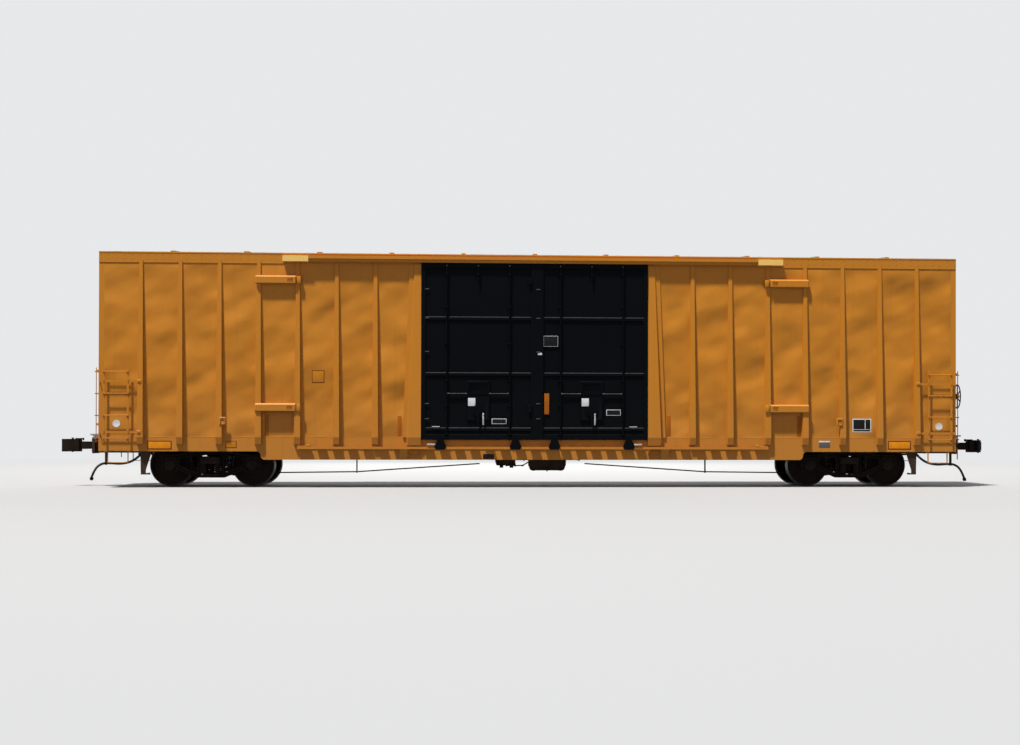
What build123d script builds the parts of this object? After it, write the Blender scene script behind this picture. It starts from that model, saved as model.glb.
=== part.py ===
from build123d import *
import math
import os

# Railroad boxcar, sixty-foot high-cube type with two plug doors on each side.
# Lengths are millimetres. X runs along the car, Y across it, Z up.
# Heights here are above the rail top, as railway drawings give them. export_node lifts
# everything by the flange height, so that the wheel flanges end at Z = 0.

# Fits
FIT_GAP = 0.3  # between pieces that seat on each other
CLEARANCE = 6.0  # between pieces that move past each other
OVER = 1.0  # how far a cutting shape reaches past what it cuts

# Load space, walls and floor
INSIDE_LENGTH = 18517.0
INSIDE_WIDTH = 2896.0
WALL_T = 30.0
END_T = 42.0
END_DEPTH = 116.5  # from the end of the load space to the end of the body
DECK_TOP = 1090.0
SHEET_BOTTOM = 1064.0
CHORD_BOTTOM = 4832.0
CHORD_TOP = 5034.0
CHORD_PROUD = 10.0
CHORD_INSIDE = 20.0
PLATE = 14.0  # thickness of the pressed plates of chords, sills and rails
CORNER_W = 90.0
CORNER_DRAFT = 20.0

# End corrugations
CORRUGATIONS = 10
CORRUGATION_D = 62.0
CORRUGATION_SHARE = 0.36  # half of a corrugation's height as a share of the pitch
CORRUGATION_FADE = 150.0
END_MARGIN = 60.0

# Roof
ROOF_T = 24.0
ROOF_RISE = 100.0
ROOF_PANELS = 12
ROOF_EAVE = 6.0
SEAM_W = 90.0
SEAM_H = 26.0

# Centre sill with its strikers
SILL_INSIDE = 327.0
SILL_WEB = 12.0
SILL_FOOT = 75.0
SILL_TOP = 1040.0
SILL_LOW = 712.0
SILL_BEYOND = 325.0  # from the end of the body to the striker
STRIKER_W = 520.0
STRIKER_H = 360.0
STRIKER_T = 60.0
STRIKER_R = 40.0
MOUTH_H = 250.0
MOUTH_R = 30.0

# Side sills
SILL_PROUD = 8.0
SILL_T = 12.0
SILL_FLANGE = 80.0
SILL_END_BOTTOM = 758.0
SILL_MID_BOTTOM = 578.0
SILL_CORNER_R = 90.0
SILL_RISE_FROM_TRUCK = 1118.5  # from a truck's centre to the deep part of the side sill
SILL_SHORT = 4.0
END_SILL_DEPTH = 110.5

# Body bolsters and centre plates
BOLSTER_HALF = 170.0
BOLSTER_WEB = 60.0
BOLSTER_FLAT = 720.0
BOLSTER_KNEE_Y = 880.0
BOLSTER_KNEE_Z = 832.0
BOLSTER_TIP_Z = 866.0
JACK_PAD_L = 240.0
JACK_PAD_W = 160.0
CENTRE_PLATE_Z = 654.0
CENTRE_PLATE_R = 203.0
CENTRE_PAD_L = 380.0
CENTRE_PAD_W = 470.0

# Cross beams
CROSS_DEPTH = 300.0
CROSS_TAPER = 0.45
CROSS_WEB = 12.0
CROSS_FOOT = 150.0
CROSS_HEAD = 100.0
CROSS_HEAD_T = 10.0
CROSS_FIRST = 600.0
CROSS_LAST_FROM_TRUCK = 2848.5
CROSS_DEEP_STEPS = 3

# Roping brackets
ROPING_X = 882.0  # from the end of the body to the outer edge
ROPING_W = 244.0
ROPING_NECK_W = 118.0
ROPING_NECK_Z = 353.0
ROPING_LOW = 256.0
ROPING_HOOK = 212.0
ROPING_T = 16.0
ROPING_INSET = 58.0

# Side posts
POSTS_PER_GROUP = 7
FIRST_POST_FROM_DOOR = 988.0
LAST_POST_FROM_END = 891.0
POST_TOP = 4880.0
POST_BOTTOM = 913.0
POST_TOP_W = 76.0
POST_BOTTOM_W = 128.0
POST_TOP_D = 26.0
POST_BOTTOM_D = 120.0
POST_FOOT_STEP = 30.0
POST_LEAN = 0.18

# Door posts
DOOR_POST_TOP_W = 145.0
DOOR_POST_BOTTOM_W = 285.0
DOOR_POST_TOP_D = 40.0
DOOR_POST_BOTTOM_D = 114.0
DOOR_POST_DROP = 20.0
DOOR_POST_LEAN = 0.35
DOOR_STRIP_W = 110.0
DOOR_STRIP_D = 40.0

# Plug doors
DOOR_OPENING = 4960.0
DOOR_BOTTOM = 1014.0
DOOR_TOP = 4862.0
DOOR_T = 74.0
DOOR_GAP = 6.0
DOOR_FRAME_W = 90.0
DOOR_FRAME_H = 110.0
DOOR_RIB_D = 26.0
DOOR_RIB_FOOT = 46.0
DOOR_RIB_FACE = 28.0
DOOR_RIB_Z = (1240.0, 2440.0, 3655.0)
JOINT_STRIP_BACK = 90.0
JOINT_STRIP_FRONT = 180.0
JOINT_STRIP_T = 12.0
JOINT_STRIP_GAP = 2.0

# Door lock gear and rollers
ROD_OFFSET = 685.0
ROD_R = 17.0
ROD_SHORT = 60.0
CENTRE_ROD_L = 380.0
GEAR_Z = 1653.0
GEAR_R = 120.0
GEAR_T = 30.0
GEAR_HUB_R = 40.0
GEAR_HUB_L = 50.0
HANDLE_W = 28.0
HANDLE_T = 20.0
HANDLE_L = 330.0
GEAR_CASE_HALF = 150.0
GEAR_CASE_LOW = 160.0
GEAR_CASE_HIGH = 430.0
LINK_UP = 352.0
LINK_H = 35.0
LINK_T = 12.0
LINK_OFF = 4.0
ROLLER_BEYOND_ROD = 130.0
ROLLER_R = 42.0
ROLLER_W = 26.0
ROLLER_PLATE_T = 18.0
ROLLER_PLATE_DROP = 62.0
ROLLER_PLATE_LOW = 90.0
ROLLER_PLATE_MID = 130.0
ROLLER_PLATE_HIGH = 70.0
ROLLER_ARM_HALF = 45.0
ROLLER_ARM_H = 60.0

# Rails and tracks of the doors
GEAR_REACH = 144.0  # from the outside of a wall to the outermost face of the car
RAIL_TOP = 4993.0
RAIL_BOTTOM = 4867.0
RAIL_PAST_DOORS = 500.0
RAIL_CLOSED = 550.0
RAIL_LIP_H = 62.0
RAIL_GUIDE_INSET = 36.0
TRACK_TOP = 862.0
TRACK_PAST_DOORS = 180.0
TRACK_INSET = 22.0
TRACK_PITCH = 330.0
TRACK_SLOT = 120.0
TRACK_SHELF_LOW = 40.0
TRACK_RAIL_H = 52.0
TRACK_RAIL_W = 30.0
TRACK_BACK = 14.0
GUSSET_FROM_DOOR = 290.0
GUSSET_L = 170.0
GUSSET_H = 222.0
GUSSET_FOOT = 46.0

# Door stops
STOP_Z = (1712.0, 4475.0)
STOP_H = 174.0
STOP_D = 70.0
STOP_T = 12.0
STOP_PAST = 70.0
STOP_PAD = 90.0
STOP_SEAT = 2.0

# Ladders and sill steps
RUNG_Z = (1037.0, 1528.0, 2000.0, 2470.0)
RUNG_R = 11.0
RUNG_SIDES = 8
STILE_W = 44.0
STILE_T = 8.0
STILE_PAST = 90.0
ARM_H = 50.0
LADDER_FROM_END = (635.0, 125.0)
LADDER_OFF = 82.0
LADDER_ARM_Z = (1170.0, 2264.0)
END_LADDER_W = 408.0
END_LADDER_OFF = 68.0
STEP_FROM_END = (631.0, 187.0)
STEP_BOTTOM = 507.0
STEP_W = 50.0
STEP_T = 14.0
STEP_FOOT = 50.0
STEP_INSET = 30.0

# End platforms
PLATFORM_REACH = 330.0
PLATFORM_HALF = 720.0
PLATFORM_T = 30.0
PLATFORM_LIFT = 10.0
PLATFORM_EDGE = 12.0
PLATFORM_SLATS = 8
PLATFORM_SLAT_T = 8.0
PLATFORM_RIB_Y = 560.0
PLATFORM_RIB_T = 10.0
PLATFORM_BRACE = 160.0

# Hand brake
BRAKE_Y = -700.0
BRAKE_Z = 2010.0
BRAKE_CASE_W = 260.0
BRAKE_CASE_UP = 190.0
BRAKE_CASE_DOWN = 210.0
BRAKE_CASE_NARROW = 120.0
BRAKE_CASE_T = 138.0
BRAKE_CASE_R = 30.0
BRAKE_BAR_Y = 90.0
BRAKE_BAR_W = 60.0
BRAKE_BAR_HALF = 420.0
BRAKE_SHAFT_R = 22.0
BRAKE_WHEEL_R = 279.0
BRAKE_WHEEL_FROM_END = 250.0
BRAKE_RIM = 28.0
BRAKE_HUB_R = 45.0
BRAKE_HUB_L = 60.0
BRAKE_SPOKES = 6
BRAKE_SPOKE_T = 12.0
BRAKE_SPOKE_W = 26.0

# Air brake vessels under the floor
TANK_Y = -780.0
TANK_Z = 520.0
TANK_R = 190.0
TANK_HALF = 420.0
TANK_DOME = 70.0
TANK_STRAP_W = 50.0
TANK_STRAP_T = 6.0
TANK_HANGER_W = 120.0
CYLINDER_X = -600.0
CYLINDER_Y = 560.0
CYLINDER_Z = 560.0
CYLINDER_R = 145.0
CYLINDER_HALF = 230.0
CYLINDER_DOME = 40.0
CYLINDER_FLANGE_R = 170.0
CYLINDER_FLANGE_T = 24.0
CYLINDER_ROD_R = 24.0
CYLINDER_ROD_L = 200.0
VALVE_X = -600.0
VALVE_Y = -700.0
VALVE_LOW = 470.0
VALVE_HIGH = 740.0
VALVE_L = 120.0
VALVE_W = 220.0
VALVE_HEAD_X = 110.0
VALVE_HEAD_R = 95.0
VALVE_HEAD_L = 110.0
VALVE_CUP_X = 112.0
VALVE_CUP_R = 42.0
VALVE_CUP_L = 120.0
VALVE_HANGER_W = 80.0

# Brake pipe, end cocks and air hoses
PIPE_Y = -330.0
PIPE_Z = 690.0
PIPE_R = 21.0
PIPE_END_FROM_END = 595.0
PIPE_CLIP = 30.0
COCK_L = 60.0
COCK_W = 64.0
COCK_H = 72.0
COCK_NECK = 70.0
HOSE_R = 26.0
# Route of the air hose at the +X end in the plane of the brake pipe.
HOSE_ROUTE = [
    # from the end of the body, height
    (-553, 648), (-455, 556), (-300, 480), (-100, 452), (100, 470), (290, 466),
    (440, 350), (505, 180)]
HANGER_RUN = 4  # the run of the route that lies in the hanger
HANGER_L = 40.0
HANGER_T = 10.0
HANGER_WALL = 14.0
COUPLING_R = 42.0
COUPLING_W = 40.0
COUPLING_DROP = 60.0
COUPLING_NECK_R = 24.0
COUPLING_NECK_L = 50.0

# Brake pull rods and uncoupling levers
PULL_ROD_R = 14.0
ROD_ENDS = ((898.5, 262.0), (3098.5, 285.0))  # from a truck's centre, height
ROD_MIDDLE = (1190.0, 470.0)  # from the car's middle, height
ROD_HANGER_W = 80.0
ROD_HANGER_T = 12.0
ROD_HANGER_L = 24.0
LEVER_R = 12.0
LEVER_Z = 830.0
LEVER_OFF = 60.0
LEVER_GRIP_Z = 590.0
LEVER_FROM_SIDE = 68.0
LEVER_INNER_Y = -470.0
LEVER_TIP = (300.0, -330.0, 770.0)  # from the end of the body, across, height
LEVER_BRACKET = 40.0
LEVER_BRACKETS = (198.0, 888.0)  # from the inside of the wall

# Wheels, axles and bearings
WHEEL_D = 914.4
FLANGE_H = 25.4
FLANGE_W = 36.0
FLANGE_TIP = 14.0
TREAD_DROP = 5.0
BACK_TO_BACK = 1354.0
RIM_W = 145.0
RIM_T = 50.0
HUB_R = 150.0
HUB_BACK = 6.0
HUB_FRONT = 180.0
PLATE_BACK = 60.0
PLATE_RIM = 92.0
PLATE_HUB = 108.0
SEAT_R = 111.0
SEAT_PAST = 10.0
AXLE_R = 93.5
AXLE_FLARE = 120.0
COLLAR_R = 96.5
JOURNAL_R = 82.5
CAP_R = 98.0
CAP_T = 22.0
BEARING_SPREAD = 2007.0
BEARING_R = 126.0
BEARING_W = 180.0
BEARING_EDGE = 15.0
ADAPTER_W = 236.0
ADAPTER_T = 22.0
ADAPTER_H = 126.0
ADAPTER_INSET = 20.0

# Trucks
TRUCK_FROM_END = 2326.5  # from the end of the body to a truck's centre
WHEELBASE = 1778.0
FRAME_W = 150.0
FRAME_TOP = 772.0
FRAME_TOP_HALF = 250.0
FRAME_BOTTOM = 180.0
FRAME_BOTTOM_HALF = 300.0
FRAME_ARCH = 84.0
FRAME_SIDE = 60.0
FRAME_LIP = 52.0
FRAME_LIP_DROP = 45.0
FRAME_JAW = 6.0
FRAME_RIM = 20.0
FRAME_WEB = 32.0
FRAME_R = 45.0
WINDOW_R = 36.0
COLUMN_X = 218.0
COLUMN_T = 66.0
COLUMN_TOP = 100.0
SPRING_SEAT = 252.0
SEAT_W = 400.0
SEAT_T = 26.0
SPRING_H = 228.0
SPRING_R = 68.0
SPRING_X = 142.0
SPRING_Y = 120.0
BOLSTER_W = 404.0
BOLSTER_END = 190.0
BOLSTER_END_H = 150.0
BOLSTER_BELLY_Z = 400.0
BOLSTER_BELLY_Y = 420.0
BOLSTER_ARM_Y = 760.0
BOLSTER_SHOULDER_Y = 500.0
BOLSTER_HOLES = ((120.0, 380.0), (460.0, 760.0))
BOLSTER_HOLE_H = 70.0
BOLSTER_HOLE_D = 30.0
BOWL_WALL = 34.0
BOWL_FLOOR = 20.0
BOWL_H = 46.0
BOWL_GAP = 3.0
SIDE_BEARING_Y = 635.0
SIDE_BEARING_W = 140.0

# Brake beams
BEAM_H = 60.0
BEAM_T = 30.0
BEAM_FROM_TREAD = 80.0
BEAM_DROP = 105.0
GUIDE_T = 8.0
GUIDE_WALL = 16.0
GUIDE_D = 30.0
TRUSS_REACH = 120.0
TRUSS_HALF = 640.0
TRUSS_FLAT = 40.0
TRUSS_H = 50.0
SHOE_GAP = 10.0
SHOE_T = 40.0
SHOE_W = 84.0
SHOE_H = 260.0
SHOE_DROP = 110.0
HEAD_W = 60.0
HEAD_REACH = 45.0
SHOE_HEAD_H = 90.0

# Couplers
COUPLER_Z = 876.0
COUPLER_BEYOND = 1000.0  # from the end of the body to the pulling face
COUPLER_LENGTH = 1100.0  # from the pulling face to the pin that the coupler swings on
HEAD_H = 280.0
HEAD_R = 14.0
KNUCKLE_H = 200.0
KNUCKLE_X = 105.0
KNUCKLE_Y = 150.0
KNUCKLE_HUB_R = 48.0
PIN_R = 20.5
DRAFT_PIN_R = 44.0
CARRIER_L = 240.0
CARRIER_T = 20.0

# Places that follow
WHEEL_R = WHEEL_D / 2
AXLE_Z = WHEEL_R
HALF_GAUGE = BACK_TO_BACK / 2
BEARING_Y = BEARING_SPREAD / 2
INSIDE_HALF = INSIDE_LENGTH / 2
BODY_HALF = INSIDE_HALF + END_DEPTH
WALL_IN = INSIDE_WIDTH / 2
WALL_OUT = WALL_IN + WALL_T
SILL_OUT = WALL_OUT + SILL_PROUD
CHORD_OUT = WALL_OUT + CHORD_PROUD
OUTER_Y = WALL_OUT + GEAR_REACH
DOOR_HALF = DOOR_OPENING / 2
DOOR_MID = DOOR_HALF / 2
TRUCK_X = BODY_HALF - TRUCK_FROM_END
SILL_HALF = BODY_HALF + SILL_BEYOND
SILL_DEEP_X = TRUCK_X - SILL_RISE_FROM_TRUCK
SILL_SIDE = SILL_INSIDE / 2 + SILL_WEB + FIT_GAP
SILL_EDGE = SILL_OUT - SILL_T - FIT_GAP
PULLING_FACE = BODY_HALF + COUPLER_BEYOND
COUPLER_PIVOT = PULLING_FACE - COUPLER_LENGTH
PIPE_END = BODY_HALF - PIPE_END_FROM_END
BEAM_X = WHEELBASE / 2 - WHEEL_R - BEAM_FROM_TREAD
BEAM_Z = AXLE_Z - BEAM_DROP
END_LOW = DECK_TOP - 5 + FIT_GAP
RIDGE_PITCH = (CHORD_TOP - END_LOW - 2 * END_MARGIN) / CORRUGATIONS
RIDGE_FACE = INSIDE_HALF + END_T + CORRUGATION_D
RAIL_HALF = DOOR_OPENING + RAIL_PAST_DOORS
TRACK_HALF = DOOR_OPENING + TRACK_PAST_DOORS
FIRST_POST = DOOR_HALF + FIRST_POST_FROM_DOOR
POST_PITCH = (BODY_HALF - LAST_POST_FROM_END - FIRST_POST) / (POSTS_PER_GROUP - 1)
POST_X = [FIRST_POST + k * POST_PITCH for k in range(POSTS_PER_GROUP)]
CROSS_STEP = (TRUCK_X - CROSS_LAST_FROM_TRUCK - CROSS_FIRST) / CROSS_DEEP_STEPS
CROSSBEARERS = [
    # x, depth
    (0.0, CROSS_DEPTH),
    (CROSS_FIRST, CROSS_DEPTH),
    (CROSS_FIRST + CROSS_STEP, CROSS_DEPTH),
    (CROSS_FIRST + 2 * CROSS_STEP, CROSS_DEPTH),
    (CROSS_FIRST + 3 * CROSS_STEP, CROSS_DEPTH),
    (TRUCK_X - 1698.5, 220.0),
    (TRUCK_X - 798.5, 70.0),
    (TRUCK_X + 801.5, 70.0),
    (BODY_HALF - 675.0, 70.0),
]
ENDS = (("a", -1), ("b", 1))
UP = (Align.CENTER, Align.CENTER, Align.MIN)


# Ways of drawing

def block(x0, x1, y0, y1, z0, z1):
    """A box between two corners."""
    size = Box(abs(x1 - x0), abs(y1 - y0), abs(z1 - z0))
    return Pos((x0 + x1) / 2, (y0 + y1) / 2, (z0 + z1) / 2) * size


def outline(points):
    """A flat face through corner points."""
    return make_face(Polyline(*points, close=True))


def prism_x(sketch, x0, x1):
    """A (y, z) sketch drawn out along X from x0 to x1."""
    return extrude(Plane.YZ.offset(x0) * sketch, x1 - x0)


def prism_y(sketch, y0, y1):
    """An (x, z) sketch drawn out along Y from y0 to y1."""
    return extrude(Plane.XZ.offset(-y0) * sketch, -(y1 - y0))


def prism_z(sketch, z0, z1):
    """An (x, y) sketch drawn out along Z from z0 to z1."""
    return extrude(Plane.XY.offset(z0) * sketch, z1 - z0)


def spun_y(points):
    """A (radius, y) outline spun round the Y axis."""
    return revolve(outline(points), Axis.Y)


def rod_x(radius, length):
    """A cylinder along X about the origin."""
    return Rot(0, 90, 0) * Cylinder(radius, length)


def rod_y(radius, length):
    """A cylinder along Y about the origin."""
    return Rot(90, 0, 0) * Cylinder(radius, length)


def bar(points, radius):
    """A round bar through points, mitred at each bend."""
    path = Polyline(*points)
    return sweep(Plane(origin=path @ 0, z_dir=path % 0) * Circle(radius), path=path,
                 transition=Transition.RIGHT)


def taper_z(low, z0, high, z1):
    """A solid between two (x, y) outlines of as many corners, at heights z0 and z1."""
    below = [Vector(x, y, z0) for x, y in low]
    above = [Vector(x, y, z1) for x, y in high]
    faces = [Face(Wire.make_polygon(below)), Face(Wire.make_polygon(above))]
    for k in range(len(low)):
        n = (k + 1) % len(low)
        faces.append(Face(Wire.make_polygon([below[k], below[n], above[n], above[k]])))
    solid = Solid(Shell(faces))
    return solid.fix()


def over_y(shape):
    """The shape mirrored to the other side of the car."""
    return mirror(shape, about=Plane.XZ)


def over_x(shape):
    """The shape mirrored to the other end of the car."""
    return mirror(shape, about=Plane.YZ)


def both_sides(shapes):
    """Shapes with their mirror images across the car."""
    return list(shapes) + [over_y(s) for s in shapes]


def four_ways(shapes):
    """Shapes mirrored to both sides and both ends."""
    half = both_sides(shapes)
    return half + [over_x(s) for s in half]


def at_end(shape, end):
    """A shape drawn at the +X end, turned half round for the -X end."""
    return shape if end > 0 else Rot(0, 0, 180) * shape


# Underframe

def centre_sill():
    """Inverted channel with bottom flanges, end to end, and a striker casting at each mouth."""
    inner = SILL_INSIDE / 2
    outer = inner + SILL_WEB
    foot = outer + SILL_FOOT
    section = outline([
        (-foot, SILL_LOW), (-inner, SILL_LOW), (-inner, SILL_TOP - SILL_WEB),
        (inner, SILL_TOP - SILL_WEB), (inner, SILL_LOW), (foot, SILL_LOW),
        (foot, SILL_LOW + SILL_WEB), (outer, SILL_LOW + SILL_WEB), (outer, SILL_TOP),
        (-outer, SILL_TOP), (-outer, SILL_LOW + SILL_WEB), (-foot, SILL_LOW + SILL_WEB)])
    sill = prism_x(section, -SILL_HALF, SILL_HALF)
    face = Pos(0, COUPLER_Z) * RectangleRounded(STRIKER_W, STRIKER_H, STRIKER_R)
    mouth = Pos(0, COUPLER_Z) * RectangleRounded(SILL_INSIDE, MOUTH_H, MOUTH_R)
    striker = prism_x(face - mouth, SILL_HALF, SILL_HALF + STRIKER_T)
    return sill + striker + over_x(striker)


def sill_notch(half):
    """Room for the side sill's top flange at the +Y end of a cross beam."""
    return block(-half, half, SILL_OUT - SILL_FLANGE - FIT_GAP, SILL_OUT,
                 SILL_TOP - SILL_T - FIT_GAP, SILL_TOP + OVER)


def body_bolster(x):
    """Box beam from side sill to side sill with jacking pads, cut through by the centre sill."""
    low = SILL_LOW + SILL_WEB + CLEARANCE
    arm = outline([
        (SILL_SIDE, low), (BOLSTER_FLAT, low), (BOLSTER_KNEE_Y, BOLSTER_KNEE_Z),
        (SILL_EDGE, BOLSTER_TIP_Z), (SILL_EDGE, SILL_TOP), (SILL_SIDE, SILL_TOP)])
    recess = offset(arm, -PLATE, kind=Kind.INTERSECTION)
    solid = prism_x(arm, -BOLSTER_HALF, BOLSTER_HALF)
    solid -= prism_x(recess, -BOLSTER_HALF - OVER, -BOLSTER_WEB)
    solid -= prism_x(recess, BOLSTER_WEB, BOLSTER_HALF + OVER)
    solid -= sill_notch(BOLSTER_HALF + OVER)
    pad = SILL_OUT - SILL_FLANGE - CLEARANCE
    solid += block(-JACK_PAD_L / 2, JACK_PAD_L / 2, pad - JACK_PAD_W, pad, SILL_END_BOTTOM,
                   BOLSTER_TIP_Z + PLATE)
    return [Pos(x, 0, 0) * solid, Pos(x, 0, 0) * over_y(solid)]


def centre_plate(x):
    """Round plate under the centre sill that turns in the truck's bowl."""
    top = SILL_LOW - FIT_GAP
    plate = Pos(0, 0, CENTRE_PLATE_Z) * Cylinder(
        CENTRE_PLATE_R, top - PLATE - CENTRE_PLATE_Z, align=UP)
    pad = block(-CENTRE_PAD_L / 2, CENTRE_PAD_L / 2, -CENTRE_PAD_W / 2, CENTRE_PAD_W / 2,
                top - PLATE, top)
    return Pos(x, 0, 0) * (plate + pad)


def cross_bottom(y, deep):
    """Height of a cross beam's lower edge at one distance from the centre line."""
    share = (abs(y) - SILL_SIDE) / (SILL_EDGE - SILL_SIDE)
    return SILL_TOP - deep + deep * CROSS_TAPER * share


def crossbearer(x, deep):
    """Tapered beam of web and flanges on each side of the centre sill."""
    low_in, low_out = cross_bottom(SILL_SIDE, deep), cross_bottom(SILL_EDGE, deep)
    web = outline([(SILL_SIDE, low_in), (SILL_EDGE, low_out), (SILL_EDGE, SILL_TOP),
                   (SILL_SIDE, SILL_TOP)])
    foot = outline([(SILL_SIDE, low_in), (SILL_EDGE, low_out), (SILL_EDGE, low_out + SILL_T),
                    (SILL_SIDE, low_in + SILL_T)])
    head = outline([(SILL_SIDE, SILL_TOP - CROSS_HEAD_T), (SILL_EDGE, SILL_TOP - CROSS_HEAD_T),
                    (SILL_EDGE, SILL_TOP), (SILL_SIDE, SILL_TOP)])
    beam = prism_x(web, -CROSS_WEB / 2, CROSS_WEB / 2)
    beam += prism_x(foot, -CROSS_FOOT / 2, CROSS_FOOT / 2)
    beam += prism_x(head, -CROSS_HEAD / 2, CROSS_HEAD / 2)
    beam = Pos(x, 0, 0) * (beam - sill_notch(CROSS_FOOT / 2 + OVER))
    return [beam, over_y(beam)]


def side_sill():
    """Deep-bellied channel sill of the +Y side, open towards the car's middle."""
    half = BODY_HALF - SILL_SHORT
    shape = outline([
        (-half, SILL_END_BOTTOM), (-SILL_DEEP_X, SILL_END_BOTTOM), (-SILL_DEEP_X, SILL_MID_BOTTOM),
        (SILL_DEEP_X, SILL_MID_BOTTOM), (SILL_DEEP_X, SILL_END_BOTTOM), (half, SILL_END_BOTTOM),
        (half, SILL_TOP), (-half, SILL_TOP)])
    corners = [v for v in shape.vertices() if abs(abs(v.X) - SILL_DEEP_X) < OVER]
    shape = fillet(corners, SILL_CORNER_R)
    hollow = offset(shape, -SILL_T)
    channel = prism_y(shape, SILL_OUT - SILL_FLANGE, SILL_OUT)
    channel -= prism_y(hollow, SILL_OUT - SILL_FLANGE - OVER, SILL_OUT - SILL_T)
    return channel + block(-half, half, SILL_OUT - SILL_T, SILL_OUT, SILL_TOP - OVER, SHEET_BOTTOM)


def end_sill(end):
    """Beam across the end below the wall, notched over the centre sill."""
    half = SILL_OUT - SILL_FLANGE - 2
    top = DECK_TOP - 5
    inner = BODY_HALF - END_SILL_DEPTH
    beam = block(inner, BODY_HALF, -half, half, SILL_END_BOTTOM, top)
    beam -= block(inner - OVER, BODY_HALF + OVER, -SILL_SIDE, SILL_SIDE, 0, SILL_TOP + FIT_GAP)
    beam -= block(inner - OVER, BODY_HALF - PLATE, -half + CORNER_W, half - CORNER_W,
                  SILL_END_BOTTOM + PLATE, top - PLATE)
    return at_end(beam, end)


def roping_bracket():
    """Tapered plate with a hook foot, hung below the +Y side sill near the +X end."""
    outer = BODY_HALF - ROPING_X
    top = SILL_END_BOTTOM - FIT_GAP
    neck = outer - ROPING_NECK_W
    tip = outer - ROPING_HOOK
    shape = outline([(outer, top), (outer - ROPING_W, top), (neck, ROPING_NECK_Z),
                     (neck, ROPING_LOW + 30), (tip, ROPING_LOW + 44), (tip, ROPING_LOW),
                     (outer - 12, ROPING_LOW)])
    y = SILL_OUT - ROPING_INSET
    plate = prism_y(shape, y, y + ROPING_T)
    shoe = block(outer - ROPING_W, outer, y - 20, y + ROPING_T + 20, top - STILE_T, top)
    return plate + shoe


# Body shell

def side_wall(end):
    """One side sheet of the +Y side with its inner lining, from the door post to the end."""
    wall = block(DOOR_HALF, INSIDE_HALF, WALL_IN, WALL_OUT, SHEET_BOTTOM, CHORD_BOTTOM)
    return wall if end > 0 else over_x(wall)


def hat(width, depth):
    """Corners of a hat-shaped post's cross-section: flat face and two leaning webs."""
    half, foot = width / 2, width / 2 + POST_LEAN * depth
    return [(-foot, WALL_OUT), (-half, WALL_OUT + depth), (half, WALL_OUT + depth),
            (foot, WALL_OUT)]


def side_post(x):
    """Hat-section post that deepens and widens from the top chord to the side sill."""
    sill, chord = hat(POST_BOTTOM_W, POST_BOTTOM_D), hat(POST_TOP_W, POST_TOP_D)
    top = POST_TOP if x > RAIL_HALF else RAIL_BOTTOM - FIT_GAP
    foot = taper_z(hat(POST_BOTTOM_W, POST_BOTTOM_D - POST_FOOT_STEP), POST_BOTTOM,
                   sill, SHEET_BOTTOM)
    head = taper_z(chord, CHORD_BOTTOM, chord, top)
    reach = POST_BOTTOM_W
    foot -= block(-reach, reach, WALL_OUT - OVER, SILL_OUT + FIT_GAP, 0, SHEET_BOTTOM)
    head -= block(-reach, reach, WALL_OUT - OVER, CHORD_OUT + FIT_GAP, CHORD_BOTTOM, CHORD_TOP)
    return Pos(x, 0, 0) * (taper_z(sill, SHEET_BOTTOM, chord, CHORD_BOTTOM) + foot + head)


def wall_share(z):
    """How far a height is up the side sheet, from 0 at its bottom to 1 at the chord."""
    return (z - SHEET_BOTTOM) / (CHORD_BOTTOM - SHEET_BOTTOM)


def post_depth(z):
    """Depth of a side post at one height."""
    return POST_BOTTOM_D + (POST_TOP_D - POST_BOTTOM_D) * wall_share(z)


def post_edge(z, y):
    """Half-width of a side post at one height and distance from the car's centre line."""
    width = POST_BOTTOM_W + (POST_TOP_W - POST_BOTTOM_W) * wall_share(z)
    return width / 2 + POST_LEAN * (post_depth(z) + WALL_OUT - y)


def door_section(width, depth):
    """Corners of the +X door post's cross-section: a flat face and one leaning web."""
    near, far = DOOR_HALF, DOOR_HALF + width
    return [(near, WALL_OUT), (near, WALL_OUT + depth), (far, WALL_OUT + depth),
            (far + DOOR_POST_LEAN * depth, WALL_OUT)]


def strip_section(width, depth):
    """Corners of the flat strip that stiffens the wall beside the door post."""
    near, far = DOOR_HALF + width, DOOR_HALF + width + DOOR_STRIP_W
    return [(near, WALL_OUT), (near, WALL_OUT + depth), (far, WALL_OUT + depth), (far, WALL_OUT)]


def door_post():
    """Post that frames the door opening, wide at the sill and narrow at the chord."""
    sill = door_section(DOOR_POST_BOTTOM_W, DOOR_POST_BOTTOM_D)
    foot = taper_z(door_section(DOOR_POST_BOTTOM_W, DOOR_POST_BOTTOM_D - POST_FOOT_STEP),
                   POST_BOTTOM - DOOR_POST_DROP, sill, SHEET_BOTTOM)
    foot -= block(0, 2 * DOOR_HALF, WALL_OUT - OVER, SILL_OUT + FIT_GAP, 0, SHEET_BOTTOM)
    post = taper_z(sill, SHEET_BOTTOM, door_section(DOOR_POST_TOP_W, DOOR_POST_TOP_D),
                   CHORD_BOTTOM)
    strip = taper_z(strip_section(DOOR_POST_BOTTOM_W, DOOR_STRIP_D), SHEET_BOTTOM,
                    strip_section(DOOR_POST_TOP_W, DOOR_STRIP_D / 2), CHORD_BOTTOM)
    return post + foot + strip


def top_chord():
    """Channel along the top of the +Y side that carries the roof."""
    inner = WALL_IN - CHORD_INSIDE
    chord = block(-BODY_HALF, BODY_HALF, inner, CHORD_OUT, CHORD_BOTTOM, CHORD_TOP)
    return chord - block(-BODY_HALF + PLATE, BODY_HALF - PLATE, inner - OVER, CHORD_OUT - PLATE,
                         CHORD_BOTTOM + PLATE, CHORD_TOP - PLATE)


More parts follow.
